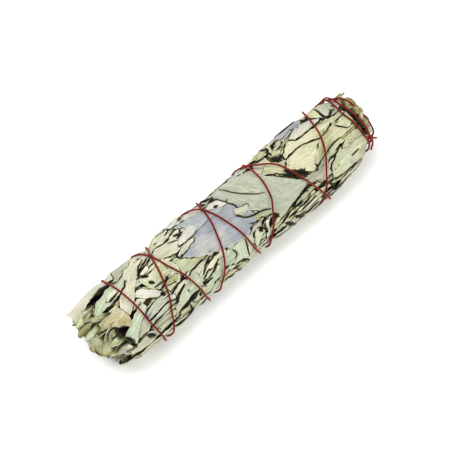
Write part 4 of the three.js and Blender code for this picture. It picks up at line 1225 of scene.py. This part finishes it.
def curled_sheet(form, seed):
    """A small dried leaf along X, folded along its midrib, twisted and bent, in millimetres."""
    rng = np.random.default_rng(seed)
    u, side = sheet_grid(CURLED_LEAF["rows"], CURLED_LEAF["columns"])
    x = u * CURLED_LEAF["length"]
    pointed = 1 - (1 - form["blunt"]) * np.clip((u - 0.62) / 0.38, 0, 1) ** 2
    blade = (0.25 + 0.75 * np.sin(math.pi * np.minimum(0.5, u * 0.9))) * pointed
    half = form["width"] / 2 * blade * (1 + 0.14 * rolling(rng, x, 2 * np.sign(side), 7))
    fold = np.radians(form["fold"][0] + (form["fold"][1] - form["fold"][0]) * u)
    twist = np.radians(form["twist"]) * u
    crest = np.sqrt(side**2 + 0.012)
    ruffle = 0.5 * side**2 * rolling(rng, x, 2 * np.sign(side), 8)
    bend = 1.6 * np.sin(u * 2.2 + seed) + form["hook"] * u**3

    def face(offset):
        spread = half * side * np.cos(fold) - offset * np.sin(fold) * side / crest
        height = half * crest * np.sin(fold) + offset * np.cos(fold) + ruffle
        y = spread * np.cos(twist) - height * np.sin(twist)
        z = spread * np.sin(twist) + height * np.cos(twist) + bend
        return np.stack([x, y, z], -1)

    half_thick = CURLED_LEAF["thickness"] / 2
    # Painted shade: dark over the leaf's base and middle, where it comes out of the bundle, fading toward
    # the tip
    values = plain_values(u, 0.8 * (1 - stepped(u, 0.4, 0.85)), 0.25 * rolling(rng, x, side * 4, 10))
    values["rib"] = np.exp(-((side * 6) ** 2))
    # A pale rim, partly its own colour and partly painted highlight
    values["margin"] = 0.4 * stepped(np.abs(side), 0.8, 1.0)
    return face(half_thick), face(-half_thick), np.stack([u * 0.5, side * 0.1], -1), values


def leaf_seats(k):
    """The small leaves of one sprig at both ends of the bundle: place, direction, size, form and warmth."""
    rng = np.random.default_rng(SEAT_SEED + k)
    middle = SPRIG_FIRST_TURN + SPRIG_STEP_TURN * k
    found = []
    for seats in SEAT_GROUPS:
        for n in range(seats["count"]):
            ring = math.sqrt((n + rng.uniform(0, 1)) / seats["count"])
            r = seats["radii"][0] + (seats["radii"][1] - seats["radii"][0]) * ring
            turn = middle + rng.uniform(-SEAT_HALF_TURN, SEAT_HALF_TURN)
            out = outward(turn)
            splay = seats["splay"] * r / 15 + rng.uniform(-0.12, 0.12)
            wobble = Vector((0.0, *rng.uniform(-0.1, 0.1, 2)))
            aim = Vector((seats["heading"], 0.0, 0.0)) + out * splay + wobble
            lie = aim.to_track_quat("X", "Z").to_matrix() @ Matrix.Rotation(rng.uniform(0, math.tau), 3, "X")
            reach = rng.uniform(*seats["reach"]) - 1.5 * ring
            if seats["heading"] < 0:
                room = seats["s"] - open_end(turn) * ring - (1 - ring) * open_end(0)
                reach = min(reach, room - rng.uniform(0.5, 3))
            size = reach / CURLED_LEAF["length"]
            place = (Vector((seats["s"], 0.0, AXIS_HEIGHT)) + out * r) * MM
            form = int(rng.integers(len(CURLED_FORMS)))
            found.append((place, lie.to_euler(), size, form, rng.uniform(-1, 1)))
    return found


def new_tree(name, inputs):
    """An empty geometry tree with a geometry going in and out, and its named inputs."""
    tree = bpy.data.node_groups.new(name, "GeometryNodeTree")
    tree.interface.new_socket("Geometry", in_out="OUTPUT", socket_type="NodeSocketGeometry")
    for label, kind in [("Geometry", "Geometry")] + inputs:
        tree.interface.new_socket(label, in_out="INPUT", socket_type="NodeSocket" + kind)
    return tree, add_node(tree, "NodeGroupInput").outputs


def finish_tree(tree, geometry, material):
    """Ends a tree in Realize Instances and Set Material."""
    real = add_node(tree, "GeometryNodeRealizeInstances", {"Geometry": geometry}).outputs["Geometry"]
    painted = add_node(tree, "GeometryNodeSetMaterial", {"Geometry": real, "Material": material})
    add_node(tree, "NodeGroupOutput", {"Geometry": painted.outputs["Geometry"]})
    return tree


def made_by(tree, mesh, values, name):
    """The plain mesh that a tree makes of a mesh, with its inputs set by name through their identifiers."""
    carrier = add_object(name, mesh)
    modifier = carrier.modifiers.new("shape", "NODES")
    modifier.node_group = tree
    for item in tree.interface.items_tree:
        if item.in_out == "INPUT" and item.name in values:
            modifier[item.identifier] = values[item.name]
    bpy.context.view_layer.update()
    evaluated = carrier.evaluated_get(bpy.context.evaluated_depsgraph_get())
    result = bpy.data.meshes.new_from_object(evaluated)
    carrier.modifiers.remove(modifier)
    bpy.data.objects.remove(carrier)
    result.name = name
    return result


def small_leaf_tree(forms, material):
    """Sets a curled leaf on every seat, by the seat's own direction, size and form."""
    tree, entering = new_tree("small_leaves", [("Leaf Size", "Float")])

    def of_seat(name, kind):
        seat = add_node(tree, "GeometryNodeInputNamedAttribute", {"Name": name}, data_type=kind)
        return seat.outputs["Attribute"]

    inputs = {"Collection": forms, "Separate Children": True, "Reset Children": True}
    turned = add_node(tree, "FunctionNodeEulerToRotation", {"Euler": of_seat("lie", "FLOAT_VECTOR")})
    placed = add_node(tree, "GeometryNodeInstanceOnPoints", {
        "Points": entering["Geometry"],
        "Instance": add_node(tree, "GeometryNodeCollectionInfo", inputs).outputs["Instances"],
        "Pick Instance": True,
        "Instance Index": of_seat("form", "INT"),
        "Rotation": turned.outputs["Rotation"],
        "Scale": maths(tree, "MULTIPLY", of_seat("size", "FLOAT"), entering["Leaf Size"]),
    })
    return finish_tree(tree, placed.outputs["Instances"], material)


def unit(vectors):
    return vectors / np.linalg.norm(vectors, axis=1)[:, None]


def stem_mesh(name, line, radius, seed):
    """A stem along a line of points in millimetres, with bark round it and a cut face at its far end."""
    rng = np.random.default_rng(seed)
    line = np.array(line, float)
    heading = unit(np.gradient(line, axis=0))
    side = unit(np.cross(heading, (0, 0, 1)))
    up = np.cross(side, heading)
    angle = np.linspace(0, math.tau, STEM_SIDES, endpoint=False)
    knobbly = radius * (1 + 0.06 * rolling(rng, np.arange(len(line))[:, None] * 1.0, 3 * np.cos(angle), 4))
    across = np.cos(angle)[None, :, None] * side[:, None] + np.sin(angle)[None, :, None] * up[:, None]
    skin = line[:, None] + knobbly[..., None] * across
    cut = []
    for share, _ in CUT_RINGS:
        cut.append(line[-1] + share * (skin[-1] - line[-1]) + CUT_BULGE * heading[-1] * (1 - share))
    points = np.concatenate([*skin, *cut])
    count = len(points) // STEM_SIDES
    index = np.arange(len(points)).reshape(count, STEM_SIDES)
    after = np.roll(index, -1, axis=1)
    faces = np.stack([index[:-1], after[:-1], after[1:], index[1:]], -1).reshape(-1, 4).tolist()
    mesh = bpy.data.meshes.new(name)
    mesh.from_pydata(points * MM, [], faces + [index[0, ::-1].tolist(), index[-1].tolist()])
    give_values(mesh, "wood", np.repeat([0] * len(line) + [1] * len(CUT_RINGS), STEM_SIDES))
    give_values(mesh, "pith", np.repeat([0] * len(line) + [is_pith for _, is_pith in CUT_RINGS], STEM_SIDES))
    shape = bmesh.new()
    shape.from_mesh(mesh)
    bmesh.ops.recalc_face_normals(shape, faces=shape.faces)
    shape.to_mesh(mesh)
    shape.free()
    shade_smooth(mesh, STEM_SHARP_FROM)
    return mesh


forms = bpy.data.collections.new("curled_forms")
for n, form in enumerate(CURLED_FORMS):
    curled = sheets_mesh(f"curled_{n}", [curled_sheet(form, CURLED_SEED + n)])
    curled.attributes.remove(curled.attributes["warmth"])
    forms.objects.link(bpy.data.objects.new(f"curled_{n}", curled))
small_leaves = small_leaf_tree(forms, sprig_leaf)
for k, name in enumerate(SPRIG_NAMES):
    show_piece(name + "_mass", sheets_mesh(name + "_mass", [mass_sheet(k)]), sprig_mass, name)
    places, lies, sizes, kinds, warmths = zip(*leaf_seats(k))
    points = bpy.data.meshes.new(name + "_seats")
    points.from_pydata(places, [], [])
    give_values(points, "lie", lies, "FLOAT_VECTOR", "vector")
    give_values(points, "size", sizes)
    give_values(points, "form", kinds, "INT")
    give_values(points, "warmth", warmths)
    leaves = made_by(small_leaves, points, {"Leaf Size": 1.0}, name + "_leaves")
    show_piece(name + "_leaves", leaves, sprig_leaf)
    corners = np.array([vertex.co / MM for vertex in frame["nodes"][name].data.vertices])
    cut = corners[corners[:, 0] > corners[:, 0].max() - CUT_FACE_DEPTH]
    middle = (cut.min(0) + cut.max(0)) / 2
    line = [middle + (-STEM_LENGTH * (1 - share), 0, 0) for share in np.linspace(0, 1, STEM_POINTS)]
    show_piece(name + "_stem", stem_mesh(name + "_stem", line, STEM_RADIUS, STEM_SEED + k), bark)
for shape in list(forms.objects):
    bpy.data.objects.remove(shape)


# The loose ends
# Leaf ends that curl over both ends of the bundle, and two thin stems that stick out under the string at
# the tied end. They are parts of leaves and sprigs whose other ends are wrapped in.
CURL_THICKNESS = 0.34
CURL_ROWS = 25
CURL_COLUMNS = 8
CURL_SEED = 4300
STUB_POINTS = 16
STUB_SEED = 4400
# Each leaf end: colour, width, how far it is turned from lying along the bundle to standing out from it, in
# degrees, and its line as s, turn and r
END_CURLS = [
    ("olive", 5.0, 20, [(-94, 14, 17.5), (-99, 24, 16.5), (-102.5, 36, 15.5), (-103, 50, 15)]),
    ("olive", 2.4, -20, [(-104.5, 32, 13.4), (-103.5, 45, 15.0), (-98, 58, 16.6), (-87, 68, 17.4)]),
    ("moss", 2.6, 10, [(-102.5, 42, 14.6), (-100, 56, 16.4), (-95, 66, 17.4), (-86, 74, 17.6)]),
    ("moss", 4.0, 30, [(-89, 26, 17.5), (-96, 34, 15.5)]), ("tan", 3.0, 20, [(-88, 22, 18), (-95, 30, 16)]),
    ("pale", 4.0, 40, [(-89, 38, 18), (-98, 44, 16.5)]),
    ("pale", 7.0, 10, [(-88, -27, 19.6), (-97, -25, 19.4), (-104.5, -22, 17.5)]),
    ("olive", 6.0, 15, [(-89, -12, 18.4), (-99, -13, 17.8), (-106.5, -10, 15)]),
    ("moss", 5.0, 25, [(-92, -1, 18.2), (-99, 3, 17.4), (-105, 5, 14.5)]),
    ("olive", 6.0, -10, [(-95, 20, 17.8), (-101, 20, 16.6), (-105, 18, 13.5)]),
    ("olive", 6.0, 30, [(-90, -34, 18), (-99, -38, 17), (-103, -46, 15)]),
    ("olive", 4.0, 30, [(-94, 8, 15.0), (-101, 14, 14.6), (-105, 26, 13.4), (-104, 38, 13.0)]),
    ("grey", 6.0, -20, [(-85, 62, 19), (-92, 61, 19.0), (-96, 64, 17)]),
    ("moss", 6.0, -10, [(-90, 34, 16.6), (-98, 42, 16.4), (-102, 50, 15.8)]),
    ("olive", 6.0, 30, [(92, -20, 15.4), (96, -12, 16.4), (98, -2, 12.5)]),
    ("olive", 7.5, -20, [(92, 4, 15.2), (96.5, 9, 16.2), (98.5, 16, 12.0)]),
    ("moss", 5.0, 35, [(92, 26, 15.2), (96, 25, 16.4), (98.5, 20, 12.6)]),
    ("olive", 6.5, -15, [(92, 38, 15.2), (96, 42, 16.0), (98, 48, 12.4)]),
    ("tan", 4.5, 20, [(92, -36, 15.6), (95.5, -34, 16.6), (98, -30, 13.6)]),
    ("moss", 5.0, 0, [(92, 56, 15.2), (95.5, 58, 16.0), (97.5, 62, 12.6)]),
]
STUBS = [
    {"radius": 0.85, "line": [(84, -52, 15.6), (92, -51, 16.0), (99.5, -50, 16.4)]},
    {"radius": 0.7, "line": [(84, -43, 15.8), (92, -43, 16.2), (100.5, -40, 16.8)]},
]


def line_through(places, count):
    """Evenly spaced points, in millimetres, on a smooth line through some (s, turn, r) places."""
    places = np.array(places, float)
    t = np.linspace(0, 1, len(places))
    fit = min(2, len(places) - 1)
    at = np.linspace(0, 1, count)
    s, turn, r = (np.polyval(np.polyfit(t, places[:, axis], fit), at) for axis in range(3))
    return points_at(s, turn, r), turn


def end_curl_sheet(width, stand, places, seed):
    rng = np.random.default_rng(seed)
    line, turn = line_through(places, CURL_ROWS + 1)
    u, side = sheet_grid(CURL_ROWS, CURL_COLUMNS)
    out = np.stack([0 * turn, -np.sin(np.radians(turn)), np.cos(np.radians(turn))], -1)
    heading = unit(np.gradient(line, axis=0))
    flat_across = unit(np.cross(out, heading))
    lifted = np.cross(heading, flat_across)
    tilt = math.radians(stand)
    across = math.cos(tilt) * flat_across + math.sin(tilt) * lifted
    normal = np.cross(heading, across)
    blade = np.clip(0.35 + 1.6 * u, 0, 1) * (1 - 0.55 * np.clip((u - 0.6) / 0.4, 0, 1) ** 2)
    half = width / 2 * blade * (1 + 0.12 * rolling(rng, u * 12, 0 * u, 5))
    bulge = 0.9 * (1 - side**2) + 0.3 * rolling(rng, u * 14, side * 3, 6)
    middle = line[:, None] + (half * side)[..., None] * across[:, None] + bulge[..., None] * normal[:, None]
    outer = CURL_THICKNESS / 2 * normal[:, None]
    tone = rng.uniform(0.1, 0.7)
    warmth = rng.uniform(-0.6, 0.6)
    # Painted shade: dark at the base, where the leaf end comes out of the bundle, and along both edges
    values = plain_values(u, 0.7 * (1 - stepped(u, 0.1, 0.55)), tone, warmth)
    values["crevice"] = np.maximum(values["crevice"], 0.4 * stepped(np.abs(side), 0.6, 1.0))
    values["rib"] = np.exp(-((side * 6) ** 2))
    return middle + outer, middle - outer, np.stack([u * 0.3, side * width / UV_SCALE_MM / 2], -1), values


for colour in sorted({curl[0] for curl in END_CURLS}):
    curls = [
        end_curl_sheet(*end, CURL_SEED + n) for n, (shade, *end) in enumerate(END_CURLS) if shade == colour
    ]
    show_leaves("end_curls_" + colour, curls, colour)
for n, stub in enumerate(STUBS, 1):
    name = f"stem_stub_{n}"
    line, _ = line_through(stub["line"], STUB_POINTS)
    show_piece(name, stem_mesh(name, line, stub["radius"], STUB_SEED + n), bark)


# The string
# One brick-red cotton string of three plies, wound on in two passes that cross, with its ends knotted
# together at the tied end. It is slightly hairy, and the plies show as slanting grooves.
STRING_PITCH_MM = 4.4
STRING_SAMPLE_MM = 0.5
PROFILE_POINTS = 15
PLIES = 3
PLY_DEPTH = 0.3
KNOT_PLACE = (93.5, 68, 18.6)
KNOT_LOOP = 1.0
KNOT_TILTS = (0.5, 1.4, 2.3)
KNOT_POINTS = 16
TAILS = [
    [(94.2, 74, 19), (93.6, 84, 19.4), (92.6, 93, 19.6), (92.8, 101, 19.8)],
    [(94.4, 70, 19), (96.2, 76, 19.2), (97.4, 80, 18.8)],
]
FIBRE_DENSITY = 180000.0
FIBRE_LENGTH_MM = 1.1
FIBRE_RADIUS_MM = 0.025
FIBRE_SEED = 5
FIBRE_LEAN = (1.1, 1.1, 3.1)
FIBRE_CLEARANCE = 1.3
CROWN_COLOURS = ("7d1d1b", "a0372f")
# The maroon painted as shade in the grooves between the plies
GROOVE_SHADE_COLOUR = "2c0607"
COTTON_LOOKS = {
    "Roughness": 0.9,
    "Specular IOR Level": 0.15,
    "Sheen Weight": 0.9,
    "Sheen Roughness": 0.4,
    "Sheen Tint": linear("f0a498"),
}


def string_cotton():
    """Brick-red dyed cotton: paler, hairy crowns of the plies, and painted shade of dark maroon in the
    grooves.
    """
    material, tree, shader = new_material("string_cotton", COTTON_LOOKS)
    place = object_place(tree)
    lint = noise(tree, place, 3000.0, 3.0, 0.7)
    worn = noise(tree, place, 120.0, 2.0)
    colour = mixed(tree, *CROWN_COLOURS, ranged(tree, worn, 0.35, 0.65, 0.0, 1.0))
    # Painted shade in the grooves between the plies
    colour = mixed(tree, colour, GROOVE_SHADE_COLOUR, surface_value(tree, "groove"))
    colour = mixed(tree, colour, ranged(tree, lint, 0.3, 0.7, 0.75, 1.15), 1.0, "MULTIPLY")
    finish_surface(tree, shader, colour, lint, 0.5, 0.0001)
    return material


def plied_string_tree(material):
    """Runs a lobed, twisted section along each line of a mesh."""
    names = ["Strand Radius", "Ply Depth", "Sample Length", "Twist Per Metre"]
    tree, entering = new_tree("plied_string", [(name, "Float") for name in names])
    line = add_node(tree, "GeometryNodeMeshToCurve", {"Mesh": entering["Geometry"]}).outputs["Curve"]
    inputs = {"Curve": line, "Length": entering["Sample Length"]}
    even = add_node(tree, "GeometryNodeResampleCurve", inputs, mode="LENGTH").outputs["Curve"]
    along = add_node(tree, "GeometryNodeSplineParameter").outputs["Length"]
    twist = maths(tree, "MULTIPLY", maths(tree, "MULTIPLY", along, entering["Twist Per Metre"]), math.tau)
    tilted = add_node(tree, "GeometryNodeSetCurveTilt", {"Curve": even, "Tilt": twist}).outputs["Curve"]

    inputs = {"Resolution": PROFILE_POINTS, "Radius": 1.0}
    ring = add_node(tree, "GeometryNodeCurvePrimitiveCircle", inputs).outputs["Curve"]
    index = add_node(tree, "GeometryNodeInputIndex").outputs["Index"]
    around = maths(tree, "MULTIPLY", index, math.tau * PLIES / PROFILE_POINTS)
    hollow = maths(tree, "MULTIPLY_ADD", maths(tree, "COSINE", around), 0.5, 0.5)
    sunk = maths(tree, "SUBTRACT", 1.0, maths(tree, "MULTIPLY", hollow, entering["Ply Depth"]))
    place = add_node(tree, "GeometryNodeInputPosition").outputs["Position"]
    inputs = {0: place, "Scale": maths(tree, "MULTIPLY", sunk, entering["Strand Radius"])}
    lobed = add_node(tree, "ShaderNodeVectorMath", inputs, operation="SCALE").outputs["Vector"]
    section = add_node(tree, "GeometryNodeSetPosition", {"Geometry": ring, "Position": lobed})
    # Marks the grooves between the plies, where the material paints shade
    inputs = {"Geometry": section.outputs["Geometry"], "Name": "groove", "Value": hollow}
    marked = add_node(tree, "GeometryNodeStoreNamedAttribute", inputs, data_type="FLOAT", domain="POINT")

    inputs = {"Curve": tilted, "Profile Curve": marked.outputs["Geometry"], "Fill Caps": True}
    swept = add_node(tree, "GeometryNodeCurveToMesh", inputs).outputs["Mesh"]
    smooth = add_node(tree, "GeometryNodeSetShadeSmooth", {"Geometry": swept})
    return finish_tree(tree, smooth.outputs["Geometry"], material)


def fibre_tree(material):
    """Stands thin hairs on a mesh, leaning every way, but not where they would go through the table."""
    inputs = [("Density", "Float"), ("Fibre Length", "Float"), ("Fibre Radius", "Float"), ("Seed", "Int")]
    tree, entering = new_tree("string_fibres", inputs)
    inputs = {"Mesh": entering["Geometry"], "Density": entering["Density"], "Seed": entering["Seed"]}
    seats = add_node(tree, "GeometryNodeDistributePointsOnFaces", inputs).outputs
    inputs = {"Vertices": 3, "Radius Bottom": entering["Fibre Radius"], "Depth": entering["Fibre Length"]}
    hair = add_node(tree, "GeometryNodeMeshCone", inputs, fill_type="NGON").outputs["Mesh"]
    inputs = {"Min": [-lean for lean in FIBRE_LEAN], "Max": FIBRE_LEAN, "Seed": entering["Seed"]}
    lean = add_node(tree, "FunctionNodeRandomValue", inputs, data_type="FLOAT_VECTOR").outputs["Value"]
    as_turn = add_node(tree, "FunctionNodeEulerToRotation", {"Euler": lean}).outputs["Rotation"]
    inputs = {"Rotation": seats["Rotation"], "Rotate By": as_turn}
    turned = add_node(tree, "FunctionNodeRotateRotation", inputs, rotation_space="LOCAL").outputs["Rotation"]
    place = add_node(tree, "GeometryNodeInputPosition").outputs["Position"]
    height = add_node(tree, "ShaderNodeSeparateXYZ", {"Vector": place}).outputs["Z"]
    inputs = {"A": height, "B": maths(tree, "MULTIPLY", entering["Fibre Length"], FIBRE_CLEARANCE)}
    low = add_node(tree, "FunctionNodeCompare", inputs, operation="LESS_THAN", data_type="FLOAT")
    inputs = {"Geometry": seats["Points"], "Selection": low.outputs["Result"]}
    kept = add_node(tree, "GeometryNodeDeleteGeometry", inputs, domain="POINT").outputs["Geometry"]
    inputs = {"Points": kept, "Instance": hair, "Rotation": turned}
    placed = add_node(tree, "GeometryNodeInstanceOnPoints", inputs).outputs["Instances"]
    return finish_tree(tree, placed, material)


cotton = string_cotton()
# Each strand: its points in millimetres, and whether it closes on itself
strands = [(np.concatenate([
    points_at(s[k > 0 :], turn[k > 0 :], r[k > 0 :]) for k, (turn, s, r) in enumerate(string_lines)
]), False)]
knot_turn = np.array(Matrix.Rotation(math.radians(KNOT_PLACE[1]), 3, "X")).T
for tilt in KNOT_TILTS:
    angle = np.linspace(0, math.tau, KNOT_POINTS, endpoint=False)
    loop = np.stack([np.cos(angle) * math.cos(tilt), np.sin(angle), np.cos(angle) * math.sin(tilt)], -1)
    strands.append((points_at(*KNOT_PLACE) + KNOT_LOOP * loop @ knot_turn, True))
strands += [(np.array([points_at(*end) for end in [KNOT_PLACE] + tail]), False) for tail in TAILS]
path_points = []
path_edges = []
for strand, closed in strands:
    start = len(path_points)
    path_points += [tuple(point * MM) for point in strand]
    path_edges += [(start + n, start + n + 1) for n in range(len(strand) - 1)]
    if closed:
        path_edges.append((start + len(strand) - 1, start))
string_path = bpy.data.meshes.new("string_path")
string_path.from_pydata(path_points, path_edges, [])
string_sizes = {
    "Strand Radius": STRING_RADIUS * MM,
    "Ply Depth": PLY_DEPTH,
    "Sample Length": STRING_SAMPLE_MM * MM,
    "Twist Per Metre": 1 / (STRING_PITCH_MM * MM),
}
fibre_sizes = {
    "Density": FIBRE_DENSITY,
    "Fibre Length": FIBRE_LENGTH_MM * MM,
    "Fibre Radius": FIBRE_RADIUS_MM * MM,
    "Seed": FIBRE_SEED,
}
string_mesh = made_by(plied_string_tree(cotton), string_path, string_sizes, "cotton_string")
fibres = made_by(fibre_tree(cotton), string_mesh, fibre_sizes, "string_fibres")
show_piece("cotton_string", string_mesh, cotton, "string")
show_piece("string_fibres", fibres, cotton)
